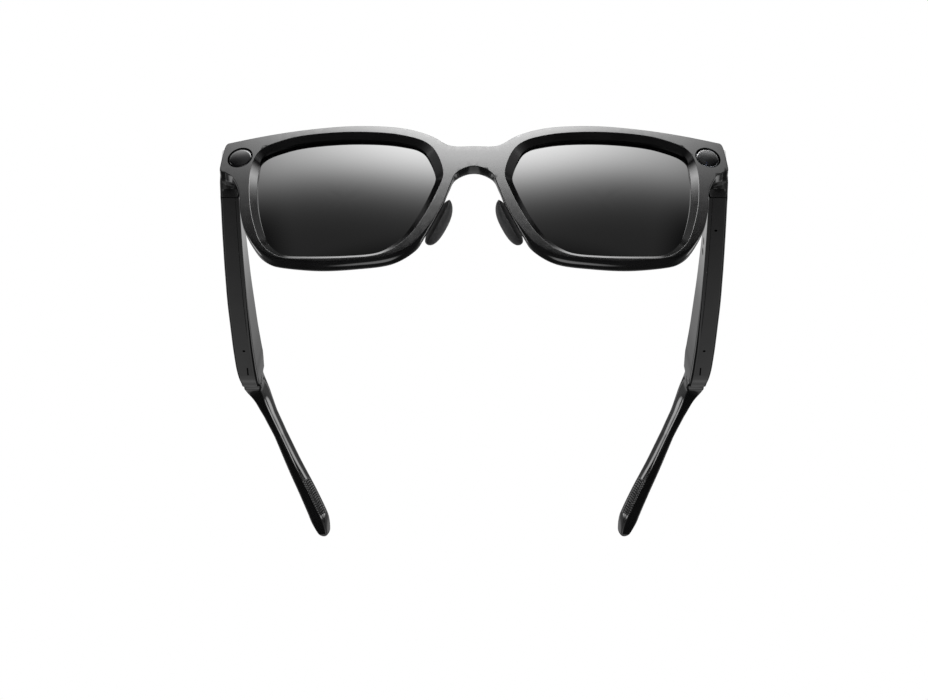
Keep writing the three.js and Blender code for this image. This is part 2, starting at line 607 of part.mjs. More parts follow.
// Block standing in the middle of the cavity, between two heights above the temple's underside.
function inside([from, to], thickness, [low, high]) {
  const x = middleX((from + to) / 2);
  return block([x - thickness / 2, x + thickness / 2], [from, to],
    [TEMPLE.bottom + low, TEMPLE.bottom + high]);
}
const battery = (span) => inside(span, 2.5, [1.8, 9]);
function board([from, to]) {
  const halfChip = 1.6;
  const chips = [0.3, 0.65].map((part) => lerp(from, to, part))
    .map((y) => inside([y - halfChip, y + halfChip], 1.9, [3.4, 5.8]));
  return shaped(inside([from, to], 0.8, [2.6, 7]), { joined: chips });
}
function speaker() {
  const [from, to] = [82, 99];
  const spout = block([SLIT.x - 0.6, SLIT.x + 0.6], [SLIT.front, to - 0.4],
    [TEMPLE.bottom + 1.9, TEMPLE.bottom + 3]);
  return shaped(inside([from, to], 2.6, [2.3, 8.6]), { joined: [spout] });
}
const speakerMesh = () => block([SLIT.x - 0.8, SLIT.x + 0.8], [SLIT.front - 0.4, 99.6],
  [TEMPLE.bottom + TEMPLE.wall + 0.25, TEMPLE.bottom + TEMPLE.wall + 0.5]);
const microphone = (y) => block([MIC_X - 0.9, MIC_X + 1.1], [y - 1.5, y + 1.5],
  [TEMPLE.bottom + TEMPLE.wall + GAP, TEMPLE.bottom + TEMPLE.wall + GAP + 0.9]);
function touchSensor() {
  const [from, to] = [52, 78];
  const x = outerX(from) - TEMPLE.wall - GAP;
  return block([x - 0.25, x], [from, to], [TEMPLE.bottom + 2.4, TEMPLE.top - 2.4]);
}

function captureButton() {
  const { top, wall } = TEMPLE;
  const slot = buttonSlot();
  const cap = stadium(slot, 0, [top - wall - GAP - 0.2, top + BUTTON.proud]);
  const flange = stadium(slot, BUTTON.flange, [top - wall - GAP - BUTTON.flange, top - wall - GAP]);
  return shaped(cap, { joined: [flange] });
}
function buttonSwitch() {
  const { x, y } = buttonSlot();
  const high = TEMPLE.top - TEMPLE.wall - GAP - BUTTON.flange - BUTTON.travel - 0.15;
  return block([x - 1, x + 1], [y - 2.5, y + 2.5], [high - 0.8, high]);
}
function contactPin(y, radius, [from, to]) {
  const pin = new THREE.CylinderGeometry(radius, radius, to - from, 16).rotateZ(Math.PI / 2);
  return pin.translate(innerX(y) + (from + to) / 2, y, (TEMPLE.bottom + TEMPLE.top) / 2);
}

// ---------------------------------------------------------------- assembly

const worn = new THREE.Group();
function place(name, geometry, material) {
  const mesh = new THREE.Mesh(geometry, material());
  mesh.name = name;
  mesh.geometry.computeVertexNormals();
  worn.add(mesh);
}
// The same piece on both sides, with the side in its name.
function placePair(name, make, material) {
  place(`${name}_left`, make('left'), material);
  place(`${name}_right`, mirrored(make('right')), material);
}

place('front_frame', frontFrame(), FINISH.satinBlack);
place('brow_cover', browCover(), FINISH.satinBlack);
place('front_flex_cable', frontFlex(), FINISH.amberFilm);
placePair('lens', lens, FINISH.lensTint);
placePair('nose_pad', nosePad, FINISH.silicone);

place('camera_window', eyeWindow(), FINISH.windowGlass);
place('camera_trim_ring', trimRing(), FINISH.blackMetal);
place('camera_module', cameraModule(), FINISH.blackMetal);
place('led_window', mirrored(eyeWindow()), FINISH.windowGlass);
place('led_trim_ring', mirrored(trimRing()), FINISH.blackMetal);
place('led_board', mirrored(ledBoard()), FINISH.circuitBoard);

placePair('hinge_front_leaf', hingeFrontLeaf, FINISH.steel);
placePair('hinge_temple_leaf', hingeTempleLeaf, FINISH.steel);
placePair('hinge_pin', hingePin, FINISH.steel);

const MIC_PLACES = { left: [33.7, 88.2], right: [88.2] };
const shell = (side) => outerShell({ holes: MIC_PLACES[side], slot: side === 'left' });
const inner = (side) => innerCover({ contacts: side === 'left' });
placePair('temple_outer_shell', shell, FINISH.glossBlack);
placePair('temple_inner_cover', inner, FINISH.glossBlack);
placePair('ear_tip', earTip, FINISH.glossBlack);
placePair('tip_core_wire', tipCore, FINISH.steel);

place('battery_left', battery([56, 79]), FINISH.foil);
place('battery_right', mirrored(battery([45, 79])), FINISH.foil);
place('main_board', board([34.5, 54]), FINISH.circuitBoard);
place('aux_board', mirrored(board([31.5, 43])), FINISH.circuitBoard);
placePair('speaker', speaker, FINISH.blackMetal);
placePair('speaker_mesh', speakerMesh, FINISH.meshCloth);
place('microphone_front_left', microphone(MIC_PLACES.left[0]), FINISH.steel);
placePair('microphone_rear', () => microphone(MIC_PLACES.right[0]), FINISH.steel);
place('touch_sensor', touchSensor(), FINISH.sensorFilm);
place('capture_button', captureButton(), FINISH.glossBlack);
place('button_switch', buttonSwitch(), FINISH.steel);
CONTACTS_Y.forEach((y, i) => {
  place(['charging_contact_front', 'charging_contact_rear'][i],
    contactPin(y, CONTACT_R, [0.1, 1.4]), FINISH.gold);
});

// Tips the glasses forward about X until the rims and the ear tips stand equally low.
function restingTilt(group) {
  const lowest = (name, angle) => {
    const { position } = group.getObjectByName(name).geometry.attributes;
    let low = Infinity;
    for (let i = 0; i < position.count; i++) {
      low = Math.min(low, position.getZ(i) * Math.cos(angle) + position.getY(i) * Math.sin(angle));
    }
    return low;
  };
  let [steep, shallow] = [-0.3, 0];
  for (let step = 0; step < 40; step++) {
    const middle = (steep + shallow) / 2;
    if (lowest('ear_tip_left', middle) < lowest('front_frame', middle)) steep = middle;
    else shallow = middle;
  }
  return (steep + shallow) / 2;
}

const smartGlasses = new THREE.Group();
smartGlasses.add(worn);
worn.rotation.x = restingTilt(worn);
worn.updateMatrixWorld(true);
const extent = new THREE.Box3().setFromObject(worn, true);
const middle = extent.getCenter(point(0, 0, 0));
worn.position.set(-middle.x, -middle.y, -extent.min.z);

export default smartGlasses;
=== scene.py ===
"""Smart glasses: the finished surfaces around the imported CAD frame.

Shapes are laid out as the glasses are worn, in millimetres: X to the side, Y back along the
temples, Z up, (0, 0, 0) in the middle of the bridge's front face. `to_row` takes them to the
CAD frame, in metres. "left" is the wearer's left, the +X side.
"""
import json
import math

import bmesh
import bpy
import numpy as np
from mathutils import Matrix, Vector
from mathutils.geometry import delaunay_2d_cdt


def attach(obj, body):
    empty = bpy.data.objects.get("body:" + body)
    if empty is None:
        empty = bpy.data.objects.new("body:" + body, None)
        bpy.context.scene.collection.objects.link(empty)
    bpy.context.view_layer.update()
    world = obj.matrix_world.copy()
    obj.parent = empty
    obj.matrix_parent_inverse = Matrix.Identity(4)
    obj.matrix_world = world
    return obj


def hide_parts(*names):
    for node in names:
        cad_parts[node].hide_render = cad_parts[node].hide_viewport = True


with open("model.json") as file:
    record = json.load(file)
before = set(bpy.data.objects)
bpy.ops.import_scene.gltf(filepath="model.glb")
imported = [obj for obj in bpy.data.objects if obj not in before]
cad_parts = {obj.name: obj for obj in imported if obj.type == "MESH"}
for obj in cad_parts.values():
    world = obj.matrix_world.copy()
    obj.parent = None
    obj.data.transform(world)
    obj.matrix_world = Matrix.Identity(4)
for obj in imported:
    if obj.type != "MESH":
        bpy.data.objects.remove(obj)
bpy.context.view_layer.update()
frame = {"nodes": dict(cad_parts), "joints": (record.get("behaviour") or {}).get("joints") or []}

MM = 0.001

# ------------------------------------------------------------------ driving dimensions, mm

GAP = 0.3
FRONT_CURVE_R = 290
FRONT_TILT = math.radians(2.5)
FRONT_DEPTH = 6.2
RIM_THINNING = 1.2           # how much thinner the rims are at the bottom
EDGE = (0.25, 0.25)          # rounding of the outer front edge at the top, (height, depth)
ROLL = (2, 1.15)             # how much larger it grows round the bottom of the rims
TURN_INSET = 0.4             # the outer wall draws in this far, then slopes to the rear
TURN_DEPTH = (3.6, 2.3)      # depth where that slope starts, at the bridge and the bottom
WALL_SLOPE = 0.93
BROW_DRAW = 0.54
BEVEL_DEPTH = 1.8            # bevel round each lens opening
BEVEL_WIDTH = (2.2, 1.3)     # beside the lens and above it
LOW_ZONE = (-4, 14)          # below the bridge, where the rims grow thinner
ROLL_ZONE = (16, 33)         # further down, where their front edge grows round
BROW_ZONE = (4, 10)          # above the bridge, where the brow's steep wall begins
BEVEL_ZONE = (7, 16)         # where the bevel's width changes
BEVEL_ROUND = 0.15           # rounding where the face turns into the bevel
FACE_GRID = 3.0              # spacing of the points inside the front's two faces

TOP_EDGE = [(0, 10.4), (6.9, 10.7), (12.8, 14.9), (21.5, 18.4), (34.7, 20.4), (48, 20.9),
            (60, 20.75), (72.2, 20.2)]
SIDE_EDGE = [(73.1, 19.5), (74.3, 10.8), (74, 9.4)]
LOWER_EDGE = [(0, 2.5), (4.9, 0), (6.85, -5.1), (8.8, -11.5), (13.6, -22.7), (16.6, -28),
              (23.2, -32.3), (33, -33.2), (43.5, -32.6), (54, -29.9), (58.6, -27.3),
              (61.9, -22.9), (65.5, -14.9), (67.2, -7.2), (68, 0.4), (70.2, 6.1), (72.8, 8.9)]
OPENING = [(62.5, 15.1), (56, 17.85), (47.9, 18.7), (34.7, 18), (21.5, 15.6), (12.7, 11),
           (8.9, 1.05), (10.4, -6.6), (15, -17.8), (19.7, -25), (26.3, -29.6), (36, -30.1),
           (48, -28.8), (54.8, -27), (59.8, -22), (62.6, -14.6), (64.6, -3.9), (64.9, 7.9)]
BROW_LINE = [(0, 7.9), (6, 8.6), (13, 13.1), (21.5, 17.2), (34.7, 19.4), (48, 19.9),
             (57, 19.6), (62, 18.2)]

LENS_UPRIGHT_R = 900
LENS_THICKNESS = 1.5
LENS_CENTRE = (37, -6)
LENS_DEPTH = 2.4
LENS_BITE = 0.6

EYE = (68.3, 13.6)
EYE_FACING = (math.radians(9.5), math.radians(4.5))    # windows turned outwards and down
MODULE_SHIFT = 0.38          # the parts behind a window face straight ahead, further in
EYE_HOLE_R = 3.85
EYE_HOLE_END = 3.2
WINDOW_R = 3.35
WINDOW_FRONT = 0.1
WINDOW_THICKNESS = 1.3
MODULE_BORE_R = 3.3
MODULE_BORE_DEPTHS = (2.8, 8.6)
SENSOR_BASE = {"half_width": 2.1, "depths": (5.9, 8.1), "heights": (-1.8, 2.4)}

HINGE = {"x": 67.8, "y": 19.6, "middle": 14.7}
END_BLOCK_REAR = 19.75
TEMPLE = {"front": 19.85, "rear": 106.45, "bottom": 9.2, "top": 20.2, "wall": 1.0, "cover": 1.15}
REAR_TAPER = {"from": 102, "by": 0.9}    # top and bottom draw in before the ear tip
CAVITY = (30, 100)
SEAM = 0.05                  # visible gap between a temple's shell and its cover
TEMPLE_OUTER = [(19.9, 74.7), (34, 75.2), (49, 75.6), (66, 75.85), (88.6, 75.5), (100, 75),
                (106.3, 73.7)]
TEMPLE_THICKNESS = [(19.9, 5.6), (49, 6), (66, 6.2), (98, 6.2), (106.3, 5.6)]
INNER_LEAN = [(19.9, 0), (45, 0.2), (100, 1.5), (106.3, 1)]

TIP_PATH = [(71.2, 102.5, 15.2), (70.5, 106.6, 14.7), (70.3, 109.8, 15), (68.2, 113.6, 13.2),
            (65.3, 118.2, 9), (62.1, 123.1, 4.4), (57.7, 130.2, -2.3), (53.3, 137.4, -8.3),
            (50, 143.4, -13.2), (47.9, 148.6, -17.3)]
TIP_SIZE = [(5.8, 9.6), (5.8, 9.2), (5.8, 8), (5.4, 6.6), (4, 5.6), (3.6, 5.3), (4.3, 5.7),
            (5.2, 6), (5.8, 6), (2.6, 4.2)]
TIP_FRONT = 106.5
TIP_END = 1.8                # length over which the tip's end rounds off
TIP_BULGE = 0.1              # how far the ear tip's inner facet swells in its middle
RIBS = {"from": 134.2, "to": 143, "pitch": 0.78, "depth": 0.22}

BUTTON = {"y": 38, "length": 9, "width": 2.2, "proud": 0.55, "flange": 0.5}
SLIT = {"x": 71.5, "front": 96.2, "rear": 99.8, "width": 0.45}
MIC_X = 72.1
MIC_HOLE_R = 0.45
MIC_PLACES = {"left": (33.7, 88.2), "right": (88.2,)}
CONTACTS_Y = (44, 48.5)
CONTACT_R = 1.1

PAD_SECTION = [(3.7, 0.1), (5.9, -2.1), (7.6, -2.3), (9, -0.6), (8.6, 1.3), (6.6, 2.1),
               (4.7, 1.7), (3.7, 0.9)]
PAD_ROOT = (5.4, -0.2)
PAD_SPAN = (-21.6, -5.6)

# ------------------------------------------------------------------ the worn frame

hinge = next(j for j in frame["joints"] if j["name"] == "left_temple_fold")
ACROSS = Vector((1, 0, 0))
UP = Vector(hinge["axis"])
BACK = UP.cross(ACROSS)
ORIGIN = (Vector(hinge["pos_m"]) - MM * HINGE["x"] * ACROSS - MM * HINGE["y"] * BACK
          - MM * HINGE["middle"] * UP)
TO_ROW = np.array([ACROSS * MM, BACK * MM, UP * MM])


def to_row(points):
    """Worn millimetres to the CAD frame's metres."""
    return np.asarray(points, float) @ TO_ROW + np.array(ORIGIN)


def wrap(x):
    return x * x / (2 * FRONT_CURVE_R)


def tilt(z):
    return -math.tan(FRONT_TILT) * z


# ------------------------------------------------------------------ lines and rings

def smooth(points, per_span, closed=False):
    """Points on the smooth line through the given points."""
    p = np.asarray(points, float)
    if closed:
        p = np.vstack([p[-1], p, p[:2]])
    else:
        p = np.vstack([2 * p[0] - p[1], p, 2 * p[-1] - p[-2]])
    t = np.linspace(0, 1, per_span, endpoint=False)[:, None]
    line = []
    for a, b, c, d in zip(p, p[1:], p[2:], p[3:]):
        slope_b = (c - a) / 2
        slope_c = (d - b) / 2
        line.append((2 * t**3 - 3 * t**2 + 1) * b + (t**3 - 2 * t**2 + t) * slope_b
                    + (3 * t**2 - 2 * t**3) * c + (t**3 - t**2) * slope_c)
    line = np.vstack(line)
    return line if closed else np.vstack([line, p[-2]])


def along(pairs, place):
    """Value at a place along a list of (place, value) pairs."""
    return np.interp(place, [a for a, _ in pairs], [b for _, b in pairs])


def eased(pairs, place, reach=4.0):
    """As `along`, with the corners of the line softened over `reach` on both sides."""
    return float(np.mean(along(pairs, place + np.linspace(-reach, reach, 9))))


def step(a, b, value):
    """0 before a, 1 after b, eased between."""
    t = np.clip((value - a) / (b - a), 0, 1)
    return t * t * (3 - 2 * t)


def mirror_half(half):
    return [(-x, z) for x, z in half[:0:-1]] + list(half)


def outward_normals(ring):
    """Unit normals of a closed flat ring, pointing out of it."""
    ahead = np.roll(ring, -1, 0)
    behind = np.roll(ring, 1, 0)
    normal = np.c_[ahead[:, 1] - behind[:, 1], behind[:, 0] - ahead[:, 0]]
    normal /= np.linalg.norm(normal, axis=1)[:, None]
    area = np.sum(ring[:, 0] * ahead[:, 1] - ahead[:, 0] * ring[:, 1])
    return normal * np.sign(area)


def grown(ring, distance):
    """The ring moved outwards; the distance may be given for each of its points."""
    return ring + outward_normals(ring) * np.reshape(distance, (-1, 1))


def blunted(points, rounds=3):
    """An open chain of straight edges with its corners cut off again and again."""
    p = np.asarray(points, float)
    for _ in range(rounds):
        near = 0.75 * p[:-1] + 0.25 * p[1:]
        far = 0.25 * p[:-1] + 0.75 * p[1:]
        p = np.vstack([p[:1], np.stack([near, far], 1).reshape(-1, 2)[1:-1], p[-1:]])
    return p


def rounded_ring(corners, radii, segments=5):
    """Closed ring through a convex outline's corners, each rounded by its own radius."""
    p = np.asarray(corners, float)
    ring = []
    for i, radius in enumerate(radii):
        before = p[i - 1] - p[i]
        after = p[(i + 1) % len(p)] - p[i]
        before /= np.linalg.norm(before)
        after /= np.linalg.norm(after)
        for t in np.linspace(0, 1, segments + 1):
            a, b = (1 - t) ** 2, t ** 2
            ring.append(p[i] + radius * (a * before + b * after))
    return np.array(ring)


# ------------------------------------------------------------------ meshes

def linked(name, data):
    """New object in the scene, which holds a mesh, a light or a camera."""
    obj = bpy.data.objects.new(name, data)
    bpy.context.scene.collection.objects.link(obj)
    return obj


def new_object(name, vertices, faces):
    """Mesh object from worn-frame points, with its faces turned outwards."""
    mesh = bpy.data.meshes.new(name)
    mesh.from_pydata([tuple(v) for v in to_row(vertices)], [], [tuple(map(int, f)) for f in faces])
    bm = bmesh.new()
    bm.from_mesh(mesh)
    bmesh.ops.remove_doubles(bm, verts=bm.verts, dist=1e-7)
    bmesh.ops.recalc_face_normals(bm, faces=bm.faces)
    bm.to_mesh(mesh)
    bm.free()
    return linked(name, mesh)


def loft(name, rings, closed_ends=True):
    """Body through rings of worn-frame points, each with the same number of points."""
    count = len(rings[0])
    vertices = np.vstack(rings)
    faces = []
    for layer in range(len(rings) - 1):
        a = layer * count
        for i in range(count):
            j = (i + 1) % count
            faces.append((a + i, a + j, a + count + j, a + count + i))
    if closed_ends:
        faces.append(range(count))
        faces.append(range(len(vertices) - count, len(vertices)))
    return new_object(name, vertices, faces)


def apply_modifiers(obj):
    depsgraph = bpy.context.evaluated_depsgraph_get()
    mesh = bpy.data.meshes.new_from_object(obj.evaluated_get(depsgraph))
    obj.modifiers.clear()
    obj.data = mesh


def boolean(obj, others, operation):
    """Joins or cuts the other objects and deletes them."""
    for other in others:
        modifier = obj.modifiers.new("cut", "BOOLEAN")
        modifier.object = other
        modifier.operation = operation
        modifier.solver = "EXACT"
        apply_modifiers(obj)
        bpy.data.objects.remove(other)
    return obj


def flipped(obj):
    """The same object, moved to the other side of the glasses."""
    obj.data.transform(Matrix.Diagonal((-1, 1, 1, 1)))
    obj.data.flip_normals()
    return obj


def mirrored(obj, name):
    """Copy on the other side of the glasses."""
    return flipped(linked(name, obj.data.copy()))


def placed(obj, x_axis, y_axis, z_axis, origin):
    """The same object, with its own axes and origin laid where they are given."""
    rows = zip(x_axis, y_axis, z_axis, origin)
    obj.matrix_world = Matrix((*rows, (0, 0, 0, 1)))
    return obj


def sheet(name, x_range, y_range):
    """Rectangle in its own XY plane."""
    (x0, x1), (y0, y1) = x_range, y_range
    mesh = bpy.data.meshes.new(name)
    mesh.from_pydata([(x0, y0, 0), (x1, y0, 0), (x1, y1, 0), (x0, y1, 0)], [], [(0, 1, 2, 3)])
    return linked(name, mesh)


def soften(obj, angle=28, weighted=True):
    """Smooth shading with sharp creases kept, and normals led by the large faces."""
    mesh = obj.data
    mesh.shade_smooth()
    mesh.set_sharp_from_angle(angle=math.radians(angle))
    if weighted:
        modifier = obj.modifiers.new("normals", "WEIGHTED_NORMAL")
        modifier.keep_sharp = True
        modifier.weight = 60
        apply_modifiers(obj)


def cylinder(name, centre, direction, radius, length, sides=48):
    """Round bar in the worn frame, from its centre along a direction."""
    way = np.array(direction, float) / np.linalg.norm(direction)
    side = np.cross(way, (1, 0, 0) if abs(way[0]) < 0.9 else (0, 0, 1))
    side /= np.linalg.norm(side)
    other = np.cross(way, side)
    angles = np.linspace(0, 2 * math.pi, sides, endpoint=False)
    ring = radius * (np.outer(np.cos(angles), side) + np.outer(np.sin(angles), other))
    start = np.array(centre) - way * length / 2
    return loft(name, [ring + start, ring + start + way * length])


def block(name, x_range, y_range, z_range):
    corners = [(x_range[0], z_range[0]), (x_range[1], z_range[0]), (x_range[1], z_range[1]),
               (x_range[0], z_range[1])]
    return loft(name, [np.array([(x, y, z) for x, z in corners]) for y in y_range])


def turned(name, profile, sides=72, straight=False):
    """Turned piece on the window's axis, or on the straight axis of the parts behind it, from
    (radius, depth) pairs from axis to axis, or in a loop."""
    x, z = EYE
    aside, down = (0, FRONT_TILT) if straight else EYE_FACING
    axis = np.array((-math.sin(aside) * math.cos(down), math.cos(aside) * math.cos(down),
                     math.sin(down)))
    side = np.array((math.cos(aside), math.sin(aside), 0))
    other = np.cross(axis, side)
    angles = np.linspace(0, 2 * math.pi, sides, endpoint=False)
    centre = np.array((x, wrap(x) + tilt(z), z))
    if straight:
        centre[0] -= MODULE_SHIFT
    circle = np.outer(np.cos(angles), side) + np.outer(np.sin(angles), other)
    rings = [centre + axis * depth + circle * radius for radius, depth in profile]
    return loft(name, rings, closed_ends=False)


def turned_bar(name, radius, front, rear, *how, **more):
    return turned(name, [(0, front), (radius, front), (radius, rear), (0, rear)], *how, **more)


def round_bend(centre, radius, start, end, steps=5):
    """Points of an arc in a turned profile, angles in degrees."""
    return [(centre[0] + radius * math.cos(math.radians(a)),
             centre[1] + radius * math.sin(math.radians(a)))
            for a in np.linspace(start, end, steps + 1)]


# ------------------------------------------------------------------ materials

NOISE_RANGE = (0.3, 0.7)     # nearly all values of a noise lie between these


class Shader:
    """New material, with its Principled shader's own sockets set by name."""

    def __init__(self, name, **sockets):
        self.material = bpy.data.materials.new(name)
        self.material.use_nodes = True
        self.tree = self.material.node_tree
        self.principled = self.tree.nodes["Principled BSDF"]
        for socket, value in sockets.items():
            self.principled.inputs[socket.replace("_", " ")].default_value = value

    def feed(self, output, socket):
        self.tree.links.new(output, self.principled.inputs[socket])

    def noise(self, *shape):
        return noise(self.tree, *shape)

    def color(self, texture, dark, light):
        """Drives the colour between two by a 0 to 1 texture."""
        ramp = node(self.tree, "ShaderNodeValToRGB")
        for element, place, color in zip(ramp.color_ramp.elements, NOISE_RANGE, (dark, light)):
            element.position = place
            element.color = (*color, 1)
        self.tree.links.new(texture, ramp.inputs["Fac"])
        self.feed(ramp.outputs["Color"], "Base Color")

    def roughness(self, texture, low, high):
        """Drives the roughness between two values by a 0 to 1 texture."""
        self.feed(ranged(self.tree, texture, *NOISE_RANGE, low, high), "Roughness")

    def bump(self, height, strength, distance_mm):
        made = node(self.tree, "ShaderNodeBump", Strength=strength, Distance=distance_mm * MM)
        self.tree.links.new(height, made.inputs["Height"])
        self.feed(made.outputs["Normal"], "Normal")


def node(tree, kind, **settings):
    """New node, with its inputs and its own settings set by name."""
    made = tree.nodes.new(kind)
    for key, value in settings.items():
        if key in made.inputs:
            made.inputs[key].default_value = value
        else:
            setattr(made, key, value)
    return made


def own_coordinates(tree, scale):
    """The piece's own coordinates, scaled along each axis."""
    coordinates = node(tree, "ShaderNodeTexCoord")
    mapping = node(tree, "ShaderNodeMapping", Scale=scale)
    tree.links.new(coordinates.outputs["Object"], mapping.inputs["Vector"])
    return mapping.outputs["Vector"]


def noise(tree, size_mm, detail=3.0, stretch=(1, 1, 1)):
    """Noise whose features measure about size_mm, on the piece's own coordinates."""
    texture = node(tree, "ShaderNodeTexNoise", Scale=1.0, Detail=detail)
    scale = [s / (size_mm * MM) for s in stretch]
    tree.links.new(own_coordinates(tree, scale), texture.inputs["Vector"])
    return texture.outputs["Fac"]


def ranged(tree, value, start, end, low=0.0, high=1.0, kind="LINEAR"):
    """A value taken from one range to another and held at its ends; start may be the larger."""
    made = node(tree, "ShaderNodeMapRange", interpolation_type=kind)
    for name, number in zip(("From Min", "From Max", "To Min", "To Max"), (start, end, low, high)):
        made.inputs[name].default_value = number
    tree.links.new(value, made.inputs["Value"])
    return made.outputs["Result"]


def smooth_ramp(tree, value, start, end):
    """0 at start, 1 at end, eased between."""
    return ranged(tree, value, start, end, kind="SMOOTHSTEP")


def maths(tree, operation, *operands):
    """Math node fed by numbers or other outputs."""
    made = node(tree, "ShaderNodeMath", operation=operation)
    for i, operand in enumerate(operands):
        if isinstance(operand, (int, float)):
            made.inputs[i].default_value = operand
        else:
            tree.links.new(operand, made.inputs[i])
    return made.outputs[0]


def mixed(tree, part, first, second):
    """Mix of two shader nodes: the first where `part` is 0, the second where it is 1."""
    mix = node(tree, "ShaderNodeMixShader")
    for socket, output in zip(mix.inputs, (part, first.outputs[0], second.outputs[0])):
        tree.links.new(output, socket)
    return mix


def product(tree, first, *others):
    for other in others:
        first = maths(tree, "MULTIPLY", first, other)
    return first


def moulded_plastic(name, black, roughness, grain_mm=0.12, grain=0.02):
    """Black plastic: slight cloudiness in colour and gloss, and a very fine moulded grain."""
    made = Shader(name, IOR=1.5)
    made.color(made.noise(9, 4), [0.7 * c for c in black], [1.3 * c for c in black])
    made.roughness(made.noise(2.2, 5), 0.85 * roughness, 1.15 * roughness)
    made.bump(made.noise(grain_mm, 2), grain, 0.02)
    return made.material


def tinted_lens():
    """Dark sun lens with a hard, faintly uneven coating."""
    made = Shader("tinted_lens", IOR=1.5)
    made.color(made.noise(25, 2), (0.0012, 0.0012, 0.0014), (0.002, 0.002, 0.0022))
    made.roughness(made.noise(6, 3), 0.02, 0.035)
    return made.material


def silicone_rubber():
    """Matte nose-pad rubber with a fine skin texture and a soft sheen."""
    made = Shader("silicone_rubber", IOR=1.42, Sheen_Weight=0.15, Sheen_Roughness=0.4)
    made.color(made.noise(1.5, 5), (0.018, 0.018, 0.019), (0.03, 0.03, 0.031))
    made.roughness(made.noise(0.5, 4), 0.5, 0.66)
    made.bump(made.noise(0.14, 3), 0.25, 0.03)
    return made.material


def clear_window(name, tint, weight):
    """Cover glass of the camera or the light."""
    made = Shader(name, IOR=1.5, Transmission_Weight=weight)
    made.color(made.noise(3, 2), [0.9 * c for c in tint], tint)
    made.roughness(made.noise(0.8, 3), 0.0, 0.02)
    return made.material


def coated_dome():
    """Camera lens element: blue-violet anti-reflection coating over a dark barrel."""
    made = Shader("coated_dome", IOR=1.6, Coat_Weight=1.0, Coat_Roughness=0.02,
                  Coat_Tint=(0.6, 0.7, 1, 1))
    made.color(made.noise(1.2, 2), (0.01, 0.015, 0.05), (0.02, 0.03, 0.09))
    made.roughness(made.noise(0.4, 3), 0.04, 0.08)
    return made.material


def metal(name, dark, light, roughness, brushing=(1, 12, 12)):
    """Metal with fine brushing along X and a slight change of tone."""
    made = Shader(name, Metallic=1.0)
    strokes = made.noise(0.9, 6, brushing)
    made.color(strokes, dark, light)
    made.roughness(strokes, 0.8 * roughness, 1.25 * roughness)
    made.bump(strokes, 0.12, 0.01)
    return made.material


def circuit_board():
    """Green solder mask with copper tracks showing faintly through it."""
    made = Shader("circuit_board_mask", IOR=1.5)
    cells = node(made.tree, "ShaderNodeTexBrick", Scale=1.0)
    cells.inputs["Mortar Size"].default_value = 0.06
    colors = {"Color1": (0.01, 0.06, 0.025), "Color2": (0.012, 0.075, 0.03),
              "Mortar": (0.03, 0.13, 0.05)}
    for socket, color in colors.items():
        cells.inputs[socket].default_value = (*color, 1)
    made.tree.links.new(own_coordinates(made.tree, (700, 700, 700)), cells.inputs["Vector"])
    made.feed(cells.outputs["Color"], "Base Color")
    made.roughness(made.noise(1.2, 3), 0.3, 0.45)
    made.bump(cells.outputs["Fac"], 0.3, 0.03)
    return made.material


def woven(name, dark, light, pitch_mm, roughness):
    """Fine cloth or film: two crossed sets of threads."""
    made = Shader(name, IOR=1.45)
    coordinates = node(made.tree, "ShaderNodeTexCoord")
    threads = []
    for direction in ("X", "Y"):
        wave = node(made.tree, "ShaderNodeTexWave", wave_type="BANDS", bands_direction=direction,
                    Scale=1 / (pitch_mm * MM) / (2 * math.pi))
        made.tree.links.new(coordinates.outputs["Object"], wave.inputs["Vector"])
        threads.append(wave.outputs["Fac"])
    crossed = product(made.tree, *threads)
    made.color(crossed, dark, light)
    made.roughness(made.noise(1, 3), 0.9 * roughness, 1.1 * roughness)
    made.bump(crossed, 0.4, 0.04)
    return made.material


MATERIALS = {
    "front": moulded_plastic("front_nylon", (0.006, 0.006, 0.0062), 0.12, 0.3, 0.006),
    "temple": moulded_plastic("temple_plastic", (0.004, 0.004, 0.0042), 0.09, 0.3, 0.004),
    "tip": moulded_plastic("tip_plastic", (0.0035, 0.0035, 0.0037), 0.1, 0.3, 0.004),
    "button": moulded_plastic("button_plastic", (0.008, 0.008, 0.0085), 0.22, 0.1, 0.06),
    "module": moulded_plastic("module_black", (0.03, 0.03, 0.032), 0.32, 0.1, 0.05),
    "lens": tinted_lens(),
    "silicone": silicone_rubber(),
    "camera_glass": clear_window("camera_glass", (0.55, 0.57, 0.6), 1.0),
    "led_glass": clear_window("led_glass", (0.008, 0.008, 0.009), 0.25),
    "dome": coated_dome(),
    "black_metal": metal("black_metal", (0.05, 0.05, 0.055), (0.1, 0.1, 0.105), 0.3),
    "steel": metal("hinge_steel", (0.42, 0.42, 0.43), (0.6, 0.6, 0.61), 0.26),
    "gold": metal("contact_gold", (0.75, 0.52, 0.2), (0.95, 0.7, 0.32), 0.2),
    "foil": metal("battery_foil", (0.5, 0.51, 0.53), (0.7, 0.71, 0.73), 0.36, (1, 3, 3)),
    "board": circuit_board(),
    "amber": woven("flex_film", (0.28, 0.11, 0.02), (0.42, 0.18, 0.04), 0.8, 0.3),
    "mesh_cloth": woven("speaker_cloth", (0.004, 0.004, 0.004), (0.03, 0.03, 0.03), 0.12, 0.7),
    "sensor": woven("sensor_film", (0.05, 0.045, 0.03), (0.14, 0.12, 0.06), 1.6, 0.4),
}


def dressed(obj, material, body, slot, *nodes):
    """Gives a finished piece its material and its body, and hides the CAD nodes it stands for. The
    slot is not used.
    """
    obj.data.materials.clear()
    obj.data.materials.append(MATERIALS[material])
    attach(obj, body)
    if nodes:
        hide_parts(*nodes)
    return obj


# ------------------------------------------------------------------ the front

